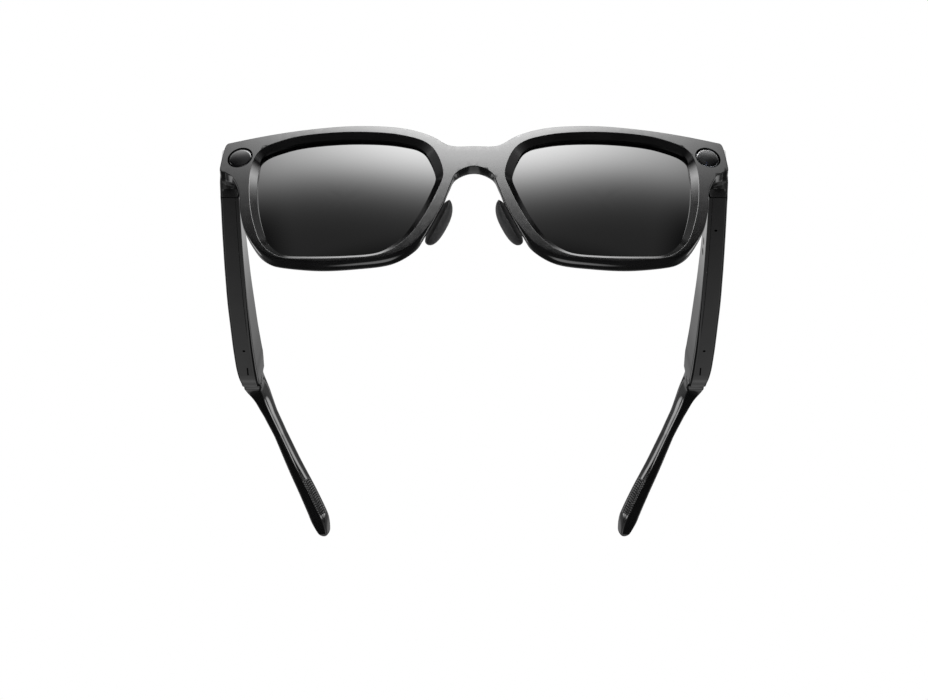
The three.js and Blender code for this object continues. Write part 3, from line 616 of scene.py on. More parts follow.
def front_outline(per_span=7):
    top = smooth(mirror_half(TOP_EDGE), per_span)
    lower = smooth(mirror_half(LOWER_EDGE), per_span)[::-1]
    side = blunted([top[-1], *SIDE_EDGE, lower[0]])[1:-1]
    far_side = (side * (-1, 1))[::-1]
    return np.vstack([top, side, lower, far_side])


OPENING_RING = smooth(OPENING, 8, closed=True)


def bent(points):
    """Flat-built points (x, depth, z) moved onto the curved, tilted front."""
    p = np.array(points, float)
    p[:, 1] += wrap(p[:, 0]) + tilt(p[:, 2])
    return p


def at_depth(ring, depth):
    return np.c_[ring[:, 0], np.zeros(len(ring)) + depth, ring[:, 1]]


def contains(ring, points):
    """Which of the points lie inside a closed ring."""
    inside = np.zeros(len(points), bool)
    for a, b in zip(ring, np.roll(ring, -1, 0)):
        crosses = (a[1] > points[:, 1]) != (b[1] > points[:, 1])
        rise = b[1] - a[1] if b[1] != a[1] else 1e-12
        inside ^= crosses & (points[:, 0] < (b[0] - a[0]) * (points[:, 1] - a[1]) / rise + a[0])
    return inside


def flat_face(rings, spacing):
    """Triangles over the area inside the first ring and outside the others."""
    outline, *holes = rings
    low, high = outline.min(0), outline.max(0)
    xs = np.arange(low[0], high[0], spacing)
    zs = np.arange(low[1], high[1], spacing)
    grid = np.array([(x, z) for x in xs for z in zs])
    keep = contains(grown(outline, -0.5), grid)
    for hole in holes:
        keep &= ~contains(grown(hole, 0.5), grid)
    edges = []
    start = 0
    for ring in rings:
        count = len(ring)
        edges += [(start + i, start + (i + 1) % count) for i in range(count)]
        start += count
    points = np.vstack([*rings, grid[keep]])
    vertices, _, faces, *_ = delaunay_2d_cdt([Vector(p) for p in points], edges, [], 1, 1e-6)
    vertices = np.array([tuple(v) for v in vertices])
    centres = np.array([vertices[list(f)].mean(0) for f in faces])
    outside = ~contains(outline, centres)
    for hole in holes:
        outside |= contains(hole, centres)
    return vertices, [f for f, skip in zip(faces, outside) if not skip]


def rim_shape(z):
    """Shape of the rim at height z: its thickness, the height and depth of its front edge, where
    its outer wall turns, and how far the wall is drawn in there and at the rear."""
    low = step(*LOW_ZONE, -z)
    rolled = step(*ROLL_ZONE, -z)
    high = step(*BROW_ZONE, z)
    rear = FRONT_DEPTH - RIM_THINNING * low
    turn = TURN_DEPTH[0] + (TURN_DEPTH[1] - TURN_DEPTH[0]) * low
    sloped = TURN_INSET + WALL_SLOPE * (rear - turn)
    return {"rear": rear, "edge_height": EDGE[0] + ROLL[0] * rolled,
            "edge_depth": EDGE[1] + ROLL[1] * rolled, "turn": turn,
            "turn_inset": TURN_INSET * (1 - high),
            "rear_inset": sloped + (BROW_DRAW - sloped) * high}


def bevel_width(ring):
    beside, above = BEVEL_WIDTH
    return beside + (above - beside) * step(*BEVEL_ZONE, ring[:, 1])


def lens_outline(clearance=0.0):
    return grown(OPENING_RING, LENS_BITE + clearance - bevel_width(OPENING_RING))


def outer_layers(outline):
    """Depth and inset of the outer wall's rings: a quarter ellipse, a swell and a slope."""
    rim = rim_shape(outline[:, 1])
    layers = []
    for a in np.linspace(0, math.pi / 2, 7):
        layers.append((rim["edge_depth"] * (1 - math.cos(a)),
                       rim["edge_height"] * (1 - math.sin(a))))
    for part in (0.35, 0.7, 1):
        depth = rim["edge_depth"] + part * (rim["turn"] - rim["edge_depth"])
        layers.append((depth, rim["turn_inset"] * part ** 2))
    for part in (0.33, 0.66, 0.96, 1):
        depth = rim["turn"] + min(part, 0.97) * (rim["rear"] - rim["turn"])
        inset = rim["turn_inset"] + part * (rim["rear_inset"] - rim["turn_inset"])
        layers.append((rim["rear"] if part == 1 else depth, inset))
    return layers


def hole_layers(hole):
    """Depth and inset of an opening's rings: a rounded edge, a bevel and a straight wall."""
    layers = []
    for a in np.linspace(0, math.pi / 4, 4):
        layers.append((BEVEL_ROUND * (1 - math.cos(a)),
                       BEVEL_ROUND * (math.sin(a) - math.tan(math.pi / 8))))
    width = bevel_width(hole)
    layers += [(BEVEL_DEPTH, width), (BEVEL_DEPTH + 0.15, width)]
    layers.append((rim_shape(hole[:, 1])["rear"], width))
    return layers


def front_plate():
    """The moulded front, before the grooves and bores are cut."""
    outline = front_outline()
    holes = [OPENING_RING, (OPENING_RING * (-1, 1))[::-1]]
    walls = [(outline, outer_layers(outline)), *((hole, hole_layers(hole)) for hole in holes)]
    vertices = []
    faces = []
    start = 0
    for ring, layers in walls:
        count = len(ring)
        vertices += [at_depth(grown(ring, -inset), depth) for depth, inset in layers]
        for layer in range(len(layers) - 1):
            a = start + layer * count
            faces.extend((a + i, a + (i + 1) % count, a + count + (i + 1) % count, a + count + i)
                         for i in range(count))
        start += count * len(layers)
    for end in (0, -1):
        rings = [grown(ring, -layers[end][1]) for ring, layers in walls]
        flat, triangles = flat_face(rings, FACE_GRID)
        vertices.append(at_depth(flat, rim_shape(flat[:, 1])["rear"] if end else 0))
        faces.extend(tuple(start + i for i in f) for f in triangles)
        start += len(flat)
    return new_object("front_frame_skin", bent(np.vstack(vertices)), faces)


def lens_surface(x, z, depth):
    return wrap(x) + tilt(z) + depth + (z - LENS_CENTRE[1]) ** 2 / (2 * LENS_UPRIGHT_R)


def lens_body(name, outline, depth, thickness):
    """Curved sheet with the lens curve, out to the given outline."""
    centre = np.array(LENS_CENTRE, float)
    scales = np.linspace(0, 1, 15)[1:] ** 0.8
    rings = []
    for side, back in ((1, 0.0), (-1, thickness)):
        half = []
        for s in scales:
            flat = centre + s * (outline - centre)
            half.append(np.c_[flat[:, 0], lens_surface(flat[:, 0], flat[:, 1], depth) + back,
                              flat[:, 1]])
        middle = (centre[0], lens_surface(*centre, depth) + back, centre[1])
        cap = [np.repeat([middle], len(outline), 0), *half]
        rings += cap if side == 1 else cap[::-1]
    return loft(name, rings, closed_ends=False)


def end_block():
    """The end piece behind each window: its underside is hollowed a little."""
    # Depth, inner side and outer side: the rear part leaves room for the hinge.
    stations = [(10.6, 65.5, 74.05), (12, 65, 74.25), (14, 64, 74.45), (16.2, 64.2, 74.55),
                (16.4, 69.5, 74.56), (17.5, 69.5, 74.6), (18.6, 69.5, 74.65),
                (END_BLOCK_REAR, 69.5, 74.7)]
    bottom, top, corner = 9.4, 19.9, 0.7
    hollow_depth, hollow_front, hollow_length = 0.9, 8, 11.2
    rings = []
    for y, inner, outer in stations:
        part = np.clip((y - hollow_front) / hollow_length, 0, 1)
        hollow = hollow_depth * math.sin(math.pi * part) ** 2
        ring = rounded_ring([(inner, top), (inner, bottom), (outer, bottom), (outer, top)],
                            [0.3, 0.3, corner, corner])
        floor = [(x, bottom + hollow * math.sin(math.pi * t)) for t, x in
                 ((t, inner + 0.3 + (outer - corner - inner - 0.3) * t)
                  for t in np.linspace(0, 1, 14)[1:-1])]
        ring = np.vstack([ring[:12], floor, ring[12:]])
        rings.append(np.array([(x, y, z) for x, z in ring]))
    return loft("end_block", rings)


def front_frame():
    body = front_plate()
    blocks = [end_block()]
    blocks.append(mirrored(blocks[0], "end_block_right"))
    boolean(body, blocks, "UNION")
    groove = lens_body("groove", lens_outline(GAP), LENS_DEPTH - 0.06, LENS_THICKNESS + 2 * GAP)
    eye_hole = turned_bar("eye_hole", EYE_HOLE_R, -4, EYE_HOLE_END)
    bore = turned_bar("bore", MODULE_BORE_R, *MODULE_BORE_DEPTHS, 48, straight=True)
    cutters = [groove, eye_hole, bore]
    cutters += [mirrored(cutter, cutter.name + "_right") for cutter in cutters]
    boolean(body, cutters, "DIFFERENCE")
    soften(body, 32)
    return dressed(body, "front", "front", "satin_black", "front_frame")


def lenses():
    for side in ("left", "right"):
        name = f"tinted_lens_{side}"
        obj = lens_body(name, lens_outline(), LENS_DEPTH, LENS_THICKNESS)
        if side == "right":
            flipped(obj)
        soften(obj, 40)
        dressed(obj, "lens", "front", "lens_tint", f"lens_{side}")


def brow_strip(name, half_width, depths, reach=0.0, corner=0.0):
    """Long strip behind the brow, following the line between its edge and the openings."""
    line = smooth(mirror_half(BROW_LINE), 8)
    ahead = np.vstack([line[1:], line[-1:]])
    behind = np.vstack([line[:1], line[:-1]])
    normal = np.c_[behind[:, 1] - ahead[:, 1], ahead[:, 0] - behind[:, 0]]
    normal /= np.linalg.norm(normal, axis=1)[:, None]
    at_end = np.abs(line[:, 0]) > BROW_LINE[-1][0] - 1
    ends = np.where(at_end, np.sign(line[:, 0]) * reach, 0)
    rings = []
    for p, n, end in zip(line, normal, ends):
        section = rounded_ring([(-half_width, depths[0]), (half_width, depths[0]),
                                (half_width, depths[1]), (-half_width, depths[1])],
                               [0.01, 0.01, max(corner, 0.01), max(corner, 0.01)], 3)
        rings.append(np.array([(p[0] + end + n[0] * a, depth, p[1] + n[1] * a)
                               for a, depth in section]))
    count = len(rings[0])
    flat = bent(np.vstack(rings))
    return loft(name, [flat[i:i + count] for i in range(0, len(flat), count)])


def brow_cover():
    depths = (FRONT_DEPTH + 0.45, FRONT_DEPTH + 1.7)
    cover = brow_strip("brow_cover_skin", 0.95, depths, corner=0.3)
    channel = brow_strip("channel", 0.55, (depths[0] - 1, depths[0] + 0.8), 0.8)
    boolean(cover, [channel], "DIFFERENCE")
    soften(cover, 35)
    dressed(cover, "front", "front", "satin_black", "brow_cover")


def nose_pads():
    low, high = PAD_SPAN
    line = smooth(LOWER_EDGE, 24)
    section = smooth(PAD_SECTION, 6, closed=True)
    rings = []
    for p, ahead in zip(line, line[1:]):
        if p[0] > 20 or not low < p[1] < high:
            continue
        out = np.array((ahead[1] - p[1], p[0] - ahead[0]))
        out /= np.linalg.norm(out)
        place = (2 * p[1] - low - high) / (high - low)
        size = (1 - abs(place) ** 2.6) ** 0.5
        depth = PAD_ROOT[0] + size * (section[:, 0] - PAD_ROOT[0])
        reach = PAD_ROOT[1] + size * (section[:, 1] - PAD_ROOT[1])
        ring = np.c_[p[0] + out[0] * reach, depth, p[1] + out[1] * reach]
        rings.append(bent(ring))
    left = loft("nose_pad_skin_left", rings)
    right = mirrored(left, "nose_pad_skin_right")
    for side, obj in (("left", left), ("right", right)):
        soften(obj, 60, weighted=False)
        dressed(obj, "silicone", "front", "silicone", f"nose_pad_{side}")


# ------------------------------------------------------------------ camera and light

def window_disc(name, crown):
    """Disc of cover glass with a bevelled edge and a slightly domed face."""
    front, rear = WINDOW_FRONT, WINDOW_FRONT + WINDOW_THICKNESS
    face = [(r, front + crown * (r / WINDOW_R) ** 2) for r in np.linspace(0, WINDOW_R - 0.18, 8)]
    edge = round_bend((WINDOW_R - 0.18, front + crown + 0.18), 0.18, -80, 0)
    back = [(WINDOW_R, rear - 0.1), (WINDOW_R - 0.1, rear), (0, rear)]
    return turned(name, [*face, *edge, *back])


def trim_ring(name):
    front, rear, hole = 1.75, 2.9, 2.45
    outer = EYE_HOLE_R - GAP
    profile = [(hole, front + 0.25), (hole + 0.25, front), (outer - 0.15, front),
               (outer, front + 0.15), (outer, rear), (hole, rear), (hole, front + 0.25)]
    return turned(name, profile)


def camera_module():
    """Barrel with stepped baffle rings round the lens dome, on a square sensor base."""
    front, radius, rear = 2.3, 2.0, 6.4
    rings = [(0, rear), (radius, rear), (radius, front + 0.15), (radius - 0.1, front + 0.05)]
    for n in range(4):
        outer = radius - 0.1 - 0.25 * n
        depth = front + 0.14 * n
        rings += [(outer - 0.07, depth), (outer - 0.18, depth + 0.06), (outer - 0.22, depth + 0.18)]
    rings += [(0.88, front + 0.7), (0.86, front + 0.9), (0, front + 0.9)]
    barrel = turned("camera_barrel", rings, straight=True)
    x, z = EYE
    y = wrap(x) + tilt(z)
    x -= MODULE_SHIFT
    half = SENSOR_BASE["half_width"]
    base = block("sensor_base", (x - half, x + half), [y + d for d in SENSOR_BASE["depths"]],
                 [z + h for h in SENSOR_BASE["heights"]])
    boolean(barrel, [base], "UNION")
    soften(barrel, 30)
    dressed(barrel, "module", "front", "black_metal", "camera_module")
    apex = front + 0.22
    dome = [(0, apex)] + [(0.82 * math.sin(a), apex + 0.5 * (1 - math.cos(a)))
                          for a in np.linspace(0.15, math.pi / 2, 9)]
    element = turned("camera_lens_element", [*dome, (0.82, apex + 0.64), (0, apex + 0.64)],
                     straight=True)
    soften(element, 50)
    dressed(element, "dome", "front", "window_glass")


def eyes():
    camera_module()
    crown = 0.09
    window = window_disc("camera_window_skin", crown)
    soften(window, 30)
    dressed(window, "camera_glass", "front", "window_glass", "camera_window")
    led = flipped(window_disc("led_window_skin", crown))
    soften(led, 30)
    dressed(led, "led_glass", "front", "window_glass", "led_window")
    ring = trim_ring("camera_trim_skin")
    other = mirrored(ring, "led_trim_skin")
    for obj, name in ((ring, "camera_trim_ring"), (other, "led_trim_ring")):
        soften(obj, 30)
        dressed(obj, "black_metal", "front", "black_metal", name)


# ------------------------------------------------------------------ temples

def outer_x(y):
    return eased(TEMPLE_OUTER, y)


def thickness_at(y):
    return eased(TEMPLE_THICKNESS, y)


def temple_ring(y, start, end, radii, trim=0.0):
    """Cross-section of the temple, `start` and `end` counted from the inner or, where they are
    zero or negative, the outer face. Radii run: inner low, outer low, outer high, inner high."""
    lean = along(INNER_LEAN, y)
    taper = REAR_TAPER["by"] * step(REAR_TAPER["from"], TEMPLE["rear"], y)
    low = TEMPLE["bottom"] + trim + taper
    high = TEMPLE["top"] - trim - taper
    outer = outer_x(y)
    inner = outer - thickness_at(y)
    in_low = inner + start
    in_high = in_low - lean
    out_low = inner + end if end > 0 else outer + end
    out_high = out_low - lean if end > 0 else out_low
    corners = [(in_low, low), (out_low, low), (out_high, high), (in_high, high)]
    ring = rounded_ring(corners, radii)
    return np.array([(x, y, z) for x, z in ring])


def temple_loft(name, front, rear, start, end, radii, trim=0.0, step_mm=1.6):
    """Body along the temple; radii may be given as a function of y."""
    stations = np.linspace(front, rear, max(2, round((rear - front) / step_mm)))
    radii_at = radii if callable(radii) else (lambda y: radii)
    return loft(name, [temple_ring(y, start, end, radii_at(y), trim) for y in stations])


def stadium(name, grow, heights, edge=0.0):
    """Upright bar with round ends, for the capture button and its slot."""
    x = outer_x(BUTTON["y"]) - thickness_at(BUTTON["y"]) / 2
    r = BUTTON["width"] / 2 + grow
    straight = (BUTTON["length"] - BUTTON["width"]) / 2
    angles = np.linspace(0, math.pi, 17)
    half = np.c_[r * np.cos(angles), straight + r * np.sin(angles)]
    ring = np.vstack([half, -half])
    rings = []
    levels = [(heights[0], 0.0), (heights[1] - edge, 0.0)]
    if edge:
        levels += [(heights[1] - edge * (1 - math.sin(a)), edge * (1 - math.cos(a)))
                   for a in np.linspace(0.3, math.pi / 2, 5)]
    for z, inset in levels:
        shrink = (r - inset) / r
        flat = ring * (shrink, (straight + r - inset) / (straight + r))
        rings.append(np.c_[x + flat[:, 0], BUTTON["y"] + flat[:, 1], np.full(len(flat), z)])
    return loft(name, rings)


def temple_shell(side):
    """Outer shell: hollow inside, with its sound slit, microphone holes and button slot."""
    cover, wall = TEMPLE["cover"], TEMPLE["wall"]
    shell = temple_loft(f"temple_shell_{side}", TEMPLE["front"], TEMPLE["rear"], cover + SEAM, 0,
                        (0.12, 0.8, 0.8, 0.12))
    cavity = temple_loft("cavity", *CAVITY, 0.02, -wall, (0.3, 0.3, 0.3, 0.3), wall, 6)
    slit = block("slit", (SLIT["x"] - SLIT["width"] / 2, SLIT["x"] + SLIT["width"] / 2),
                 (SLIT["front"], SLIT["rear"]), (TEMPLE["bottom"] - 1, TEMPLE["bottom"] + 2))
    cutters = [cavity, slit]
    for y in MIC_PLACES[side]:
        cutters.append(cylinder("mic", (MIC_X, y, TEMPLE["bottom"] + 0.5), (0, 0, 1), MIC_HOLE_R,
                                3, 24))
    if side == "left":
        cutters.append(stadium("slot", GAP, (TEMPLE["top"] - 3, TEMPLE["top"] + 1)))
    boolean(shell, cutters, "DIFFERENCE")
    return shell


def temple_cover(side):
    """Inner cover: its lower edge is bevelled more and more towards the rear."""
    def radii(y):
        return (0.35 + 1.0 * step(45, 92, y), 0.1, 0.1, 0.5)
    return temple_loft(f"temple_cover_{side}", TEMPLE["front"], TEMPLE["rear"], 0,
                       TEMPLE["cover"], radii)


def contact_holes(cover):
    cutters = []
    for y in CONTACTS_Y:
        inner = outer_x(y) - thickness_at(y)
        middle = (TEMPLE["bottom"] + TEMPLE["top"]) / 2
        cutters.append(cylinder("contact_hole", (inner, y, middle), (1, 0, 0), CONTACT_R + 0.12,
                                6))
    boolean(cover, cutters, "DIFFERENCE")


def temples():
    for side in ("left", "right"):
        shell = temple_shell(side)
        cover = temple_cover(side)
        if side == "left":
            contact_holes(cover)
        pieces = [(shell, "temple_outer_shell"), (cover, "temple_inner_cover")]
        for obj, node_name in pieces:
            if side == "right":
                flipped(obj)
            soften(obj, 30)
            dressed(obj, "temple", f"{side}_temple", "gloss_black", f"{node_name}_{side}")


def capture_button():
    top, wall = TEMPLE["top"], TEMPLE["wall"]
    cap = stadium("capture_button_skin", 0, (top - wall - GAP - 0.2, top + BUTTON["proud"]), 0.3)
    flange = stadium("flange", BUTTON["flange"],
                     (top - wall - GAP - BUTTON["flange"], top - wall - GAP))
    boolean(cap, [flange], "UNION")
    soften(cap, 30)
    dressed(cap, "button", "capture_button", "gloss_black", "capture_button")


# ------------------------------------------------------------------ ear tips

# Corners of the ear tip's section, in halves of its width (outwards) and height (up), and their
# rounding in mm: where it leaves the temple, and along its bent part.
TIP_NEAR = [(-1, -1), (1, -1), (1, 0), (1, 1), (-1, 1), (-1, 0.2)]
TIP_FAR = [(-0.42, -1), (0.74, -1), (1, -0.3), (0.7, 1), (-0.66, 1), (-1, 0.3)]
TIP_NEAR_ROUND = [1.3, 0.8, 0.8, 0.8, 0.5, 0.8]
TIP_FAR_ROUND = [0.55, 1.2, 1.5, 1.6, 1.3, 0.9]


def tip_ring(centre, way, size, place):
    """Ring of the ear tip and, for each of its points, how far it lies on the inner facet."""
    across = np.cross(way, (0, 0, 1))
    across /= np.linalg.norm(across)
    up = np.cross(across, way)
    far = step(TIP_FRONT, 117, place)
    half = np.array(size) / 2
    corners = (1 - far) * np.array(TIP_NEAR) + far * np.array(TIP_FAR)
    rounds = (1 - far) * np.array(TIP_NEAR_ROUND) + far * np.array(TIP_FAR_ROUND)
    flat = corners * half
    fit = min(1.0, half.min() / 2.2)
    ring = rounded_ring(flat, rounds * fit, 6)
    places = np.linspace(0.18, 0.82, 9)
    extra = flat[5] + np.outer(places, flat[0] - flat[5])
    facet_normal = np.array((flat[5][1] - flat[0][1], flat[0][0] - flat[5][0]))
    facet_normal /= -np.linalg.norm(facet_normal)
    swell = far * TIP_BULGE * min(1.0, half.min() / 1.5)
    extra += np.outer(swell * np.sin(math.pi * (places - 0.18) / 0.64), facet_normal)
    ring = np.vstack([ring, extra])
    on_facet = np.zeros(len(ring))
    on_facet[-9:] = 1
    on_facet[-10] = 0.5
    on_facet[0] = 0.5
    points = centre + np.outer(ring[:, 0], across) + np.outer(ring[:, 1], up)
    inward = across * facet_normal[0] + up * facet_normal[1]
    return points, on_facet, inward


def ear_tip():
    path = smooth(TIP_PATH, 90)
    travelled = np.r_[0, np.cumsum(np.linalg.norm(np.diff(path, axis=0), axis=1))]
    total = travelled[-1]
    last = len(TIP_SIZE) - 1
    spans = np.linspace(0, last, len(path))
    spans = np.where(spans > last - 1, last - 1 + np.clip(spans - last + 1, 0, 1) ** 1.7, spans)
    rings = []
    for i in range(len(path)):
        p = path[i]
        fine = RIBS["from"] - 1 < p[1] < RIBS["to"] + 1
        ending = total - travelled[i] < 4
        if p[1] < TIP_FRONT or (i % 4 and not fine and not ending):
            continue
        ahead = path[min(i + 1, len(path) - 1)]
        behind = path[max(i - 1, 0)]
        way = (ahead - behind) / np.linalg.norm(ahead - behind)
        size = np.array([np.interp(spans[i], range(len(TIP_SIZE)), [s[k] for s in TIP_SIZE])
                         for k in (0, 1)])
        left_over = max(0.0, total - travelled[i])
        if left_over < TIP_END:
            size = size * max(0.02, math.sqrt(1 - (1 - left_over / TIP_END) ** 2))
        points, on_facet, inward = tip_ring(p, way, size, p[1])
        if RIBS["from"] < p[1] < RIBS["to"]:
            length = travelled[i] - np.interp(RIBS["from"], path[:, 1], travelled)
            groove = (0.5 - 0.5 * math.cos(2 * math.pi * length / RIBS["pitch"])) ** 0.6
            points = points + np.outer(on_facet * RIBS["depth"] * (0.25 - groove), inward)
        rings.append(points)
    return loft("ear_tip_skin_left", rings)


def ear_tips():
    left = ear_tip()
    right = mirrored(left, "ear_tip_skin_right")
    for side, obj in (("left", left), ("right", right)):
        soften(obj, 40, weighted=False)
        dressed(obj, "tip", f"{side}_temple", "gloss_black", f"ear_tip_{side}")


# ------------------------------------------------------------------ carried-over pieces

CARRIED = {
    "front_flex_cable": "amber",
    "led_board": "board", "main_board": "board", "aux_board": "board",
    "battery_left": "foil", "battery_right": "foil",
    "speaker_left": "black_metal", "speaker_right": "black_metal",
    "speaker_mesh_left": "mesh_cloth", "speaker_mesh_right": "mesh_cloth",
    "touch_sensor": "sensor",
    "charging_contact_front": "gold", "charging_contact_rear": "gold",
}


def carried_over():
    """Every CAD piece that shows as it is gets its finish, and a fine bevel on its edges."""
    for name, obj in frame["nodes"].items():
        if obj.hide_render:
            continue
        obj.data.materials.clear()
        obj.data.materials.append(MATERIALS[CARRIED.get(name, "steel")])
        bevel = obj.modifiers.new("edges", "BEVEL")
        bevel.width = 0.06 * MM
        bevel.segments = 2
        bevel.limit_method = "ANGLE"
        bevel.angle_limit = math.radians(40)
        bevel.use_clamp_overlap = True


# ------------------------------------------------------------------ stage, lights, camera

def floor():
    """Pale floor, seen only from above."""
    reach = (-1.5, 1.5)
    obj = sheet("floor", reach, reach)
    paint = Shader("floor_paint", Roughness=0.9, Specular_IOR_Level=0.1)
    paint.color(paint.noise(60, 3), (0.83, 0.83, 0.83), (0.86, 0.86, 0.86))
    tree = paint.tree
    sides = node(tree, "ShaderNodeNewGeometry")
    clear = node(tree, "ShaderNodeBsdfTransparent")
    mix = mixed(tree, sides.outputs["Backfacing"], paint.principled, clear)
    tree.links.new(mix.outputs[0], tree.nodes["Material Output"].inputs["Surface"])
    obj.data.materials.append(paint.material)
    obj.visible_glossy = False
    obj.visible_transmission = False
    obj.visible_diffuse = False


SOFTBOX = {"distance": 0.25, "elevation": 40.0, "half_width": 0.34, "low": -0.12, "high": 0.2}
# Its light, in mm on the panel. It is bright above an edge that rises in an arch to both sides,
# and fades out towards its sides and its top. A weak fill lies below the edge.
GLOW = {"strength": 18.45, "width": 151.0, "squareness": 2.47, "edge": 6.1, "arch": 29.2,
        "arch_width": 111.0, "softness": 7.4, "top": (110.0, 55.0),
        "fill": 0.34, "fill_low": (-45.0, -22.0), "fill_sides": (174.0, 139.0)}


def softbox():
    """Large panel in front of and above the glasses, bright at the top and fading downwards."""
    bridge = Vector(to_row([(0, 0, 0)])[0])
    tip = math.radians(SOFTBOX["elevation"])
    out = -BACK * math.cos(tip) + UP * math.sin(tip)
    rise = BACK * math.sin(tip) + UP * math.cos(tip)
    centre = bridge + out * SOFTBOX["distance"]
    half_width = SOFTBOX["half_width"]
    obj = sheet("softbox", (-half_width, half_width), (SOFTBOX["low"], SOFTBOX["high"]))
    placed(obj, ACROSS, rise, out, centre)
    material = bpy.data.materials.new("softbox_glow")
    material.use_nodes = True
    tree = material.node_tree
    tree.nodes.remove(tree.nodes["Principled BSDF"])
    coordinates = node(tree, "ShaderNodeTexCoord")
    split = node(tree, "ShaderNodeSeparateXYZ")
    tree.links.new(coordinates.outputs["Object"], split.inputs[0])
    across = maths(tree, "ABSOLUTE", product(tree, split.outputs["X"], 1 / MM))
    up = product(tree, split.outputs["Y"], 1 / MM)

    def bell(width, power):
        scaled = maths(tree, "POWER", maths(tree, "DIVIDE", across, width), power)
        return maths(tree, "EXPONENT", product(tree, scaled, -1.0))
    arch = product(tree, GLOW["arch"], maths(tree, "SUBTRACT", 1.0, bell(GLOW["arch_width"], 2.0)))
    below = maths(tree, "SUBTRACT", maths(tree, "ADD", GLOW["edge"], arch), up)
    fall = maths(tree, "EXPONENT", maths(tree, "DIVIDE", below, GLOW["softness"]))
    ramp = maths(tree, "DIVIDE", bell(GLOW["width"], GLOW["squareness"]),
                 maths(tree, "ADD", 1.0, fall))
    bright = product(tree, ramp, GLOW["strength"], smooth_ramp(tree, up, *GLOW["top"]))
    base = product(tree, GLOW["fill"], smooth_ramp(tree, up, *GLOW["fill_low"]),
                   smooth_ramp(tree, across, *GLOW["fill_sides"]))
    strength = maths(tree, "ADD", bright, maths(tree, "ADD", base, 0.02))
    glow = node(tree, "ShaderNodeEmission")
    tree.links.new(strength, glow.inputs["Strength"])
    tree.links.new(glow.outputs[0], tree.nodes["Material Output"].inputs["Surface"])
    obj.data.materials.append(material)
    obj.visible_camera = False
    obj.visible_diffuse = False
    obj.visible_shadow = False
    obj.visible_transmission = False


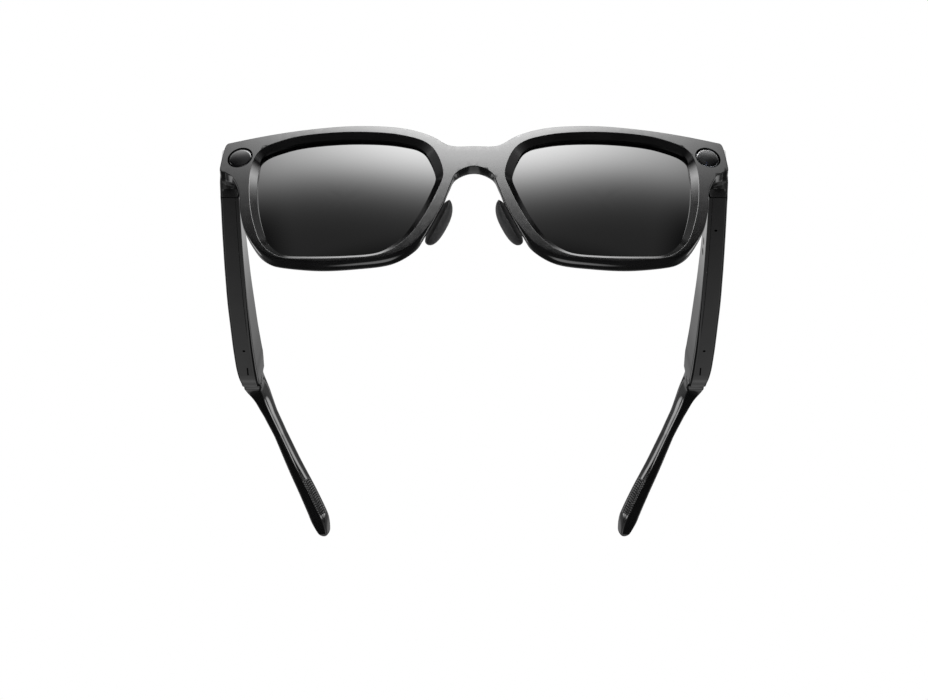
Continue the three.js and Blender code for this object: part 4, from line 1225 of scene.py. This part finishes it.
def surroundings():
    """White to the camera, even for matt surfaces, and a studio of soft panels for reflections."""
    world = bpy.data.worlds.new("studio")
    bpy.context.scene.world = world
    world.use_nodes = True
    tree = world.node_tree
    tree.nodes.clear()
    coordinates = node(tree, "ShaderNodeTexCoord")

    def along_way(way):
        """How far the view points along a direction of the worn frame, -1 to 1."""
        dot = node(tree, "ShaderNodeVectorMath", operation="DOT_PRODUCT")
        tree.links.new(coordinates.outputs["Generated"], dot.inputs[0])
        dot.inputs[1].default_value = (way[0] * ACROSS + way[1] * BACK + way[2] * UP).normalized()
        return dot.outputs["Value"]

    def ramp(value, start, end):
        return smooth_ramp(tree, value, start, end)

    def panel(strength, *limits):
        return product(tree, *limits, strength)

    def lobe(way, core, reach):
        """1 within `core` degrees of a direction, fading to 0 at `reach` degrees."""
        return ramp(along_way(way), math.cos(math.radians(reach)), math.cos(math.radians(core)))
    side = maths(tree, "ABSOLUTE", along_way((1, 0, 0)))
    back = along_way((0, 1, 0))
    up = along_way((0, 0, 1))
    under = maths(tree, "ADD", 0.08, panel(0.62, ramp(up, -0.72, -0.63)))
    panels = [
        # Above the back, for the temples' inner faces.
        panel(1.0, lobe((0, 0.74, 0.67), 15, 32),
              maths(tree, "ADD", 0.33, panel(0.27, ramp(up, 0.645, 0.705)))),
        # Low at the back, for the temples' undersides, and beside them at both sides.
        panel(1.0, ramp(side, 0.45, 0.3), ramp(back, 0.35, 0.6), ramp(up, -0.2, -0.4), under),
        panel(1.0, ramp(side, 0.5, 0.62), ramp(back, 0.2, 0.4), ramp(up, 0.0, 0.12)),
        # Low in front, for the lower edge of the rims.
        panel(3.0, lobe((0, -0.9, -0.43), 10, 24)),
        # Overhead, behind, and at both sides.
        panel(0.4, ramp(up, 0.6, 0.95), ramp(back, 0.5, 0.2)),
        panel(0.3, ramp(back, 0.8, 0.97)),
        panel(1.0, ramp(side, 0.7, 0.95),
              maths(tree, "ADD", 0.1, panel(0.5, ramp(up, -0.5, 0.4)))),
        # A small lamp at each side, for the ear tips' inner facets.
        panel(6.5, lobe((0.96, -0.17, 0.2), 5, 12)),
        panel(6.5, lobe((-0.96, -0.17, 0.2), 5, 12)),
    ]
    grey = 0.05
    for light in panels:
        grey = maths(tree, "ADD", grey, light)
    studio, even, white = (node(tree, "ShaderNodeBackground", Color=(1, 1, 1, 1), Strength=strength)
                           for strength in (1.0, 0.8, 1.0))
    tree.links.new(grey, studio.inputs["Strength"])
    path = node(tree, "ShaderNodeLightPath")
    mirror_or_matt = mixed(tree, path.outputs["Is Diffuse Ray"], studio, even)
    seen = mixed(tree, path.outputs["Is Camera Ray"], mirror_or_matt, white)
    output = node(tree, "ShaderNodeOutputWorld")
    tree.links.new(seen.outputs[0], output.inputs["Surface"])


def top_light():
    """Soft light from above, for shadows on the floor."""
    light = bpy.data.lights.new("top_light", "AREA")
    light.energy = 1.2
    light.size = 0.5
    obj = linked("top_light", light)
    obj.location = (0.1, -0.1, 0.8)
    obj.rotation_euler = (Vector((0, 0, 0)) - obj.location).to_track_quat("-Z", "Y").to_euler()
    obj.visible_glossy = False


CAMERA_DISTANCE = 780.0      # mm from the bridge, 45 degrees below the line of sight
CAMERA_PITCH = math.radians(41.26)
CAMERA_LENS = 105.36         # mm, on a 36 mm wide sensor
CAMERA_SHIFT = -0.0108


def camera():
    data = bpy.data.cameras.new("camera")
    data.sensor_width = 36.0
    data.lens = CAMERA_LENS
    data.shift_x = CAMERA_SHIFT
    data.clip_start = 0.01
    reach = CAMERA_DISTANCE * math.sqrt(0.5)
    place = Vector(to_row([(0, -reach, -reach)])[0])
    look = BACK * math.cos(CAMERA_PITCH) + UP * math.sin(CAMERA_PITCH)
    top = -BACK * math.sin(CAMERA_PITCH) + UP * math.cos(CAMERA_PITCH)
    side = look.cross(top)
    obj = placed(linked("camera", data), side, top, -look, place)
    bpy.context.scene.camera = obj


bpy.context.scene.view_settings.view_transform = "Standard"
camera()
surroundings()
softbox()
top_light()
floor()

front_frame()
lenses()
brow_cover()
nose_pads()
eyes()
temples()
capture_button()
ear_tips()
carried_over()
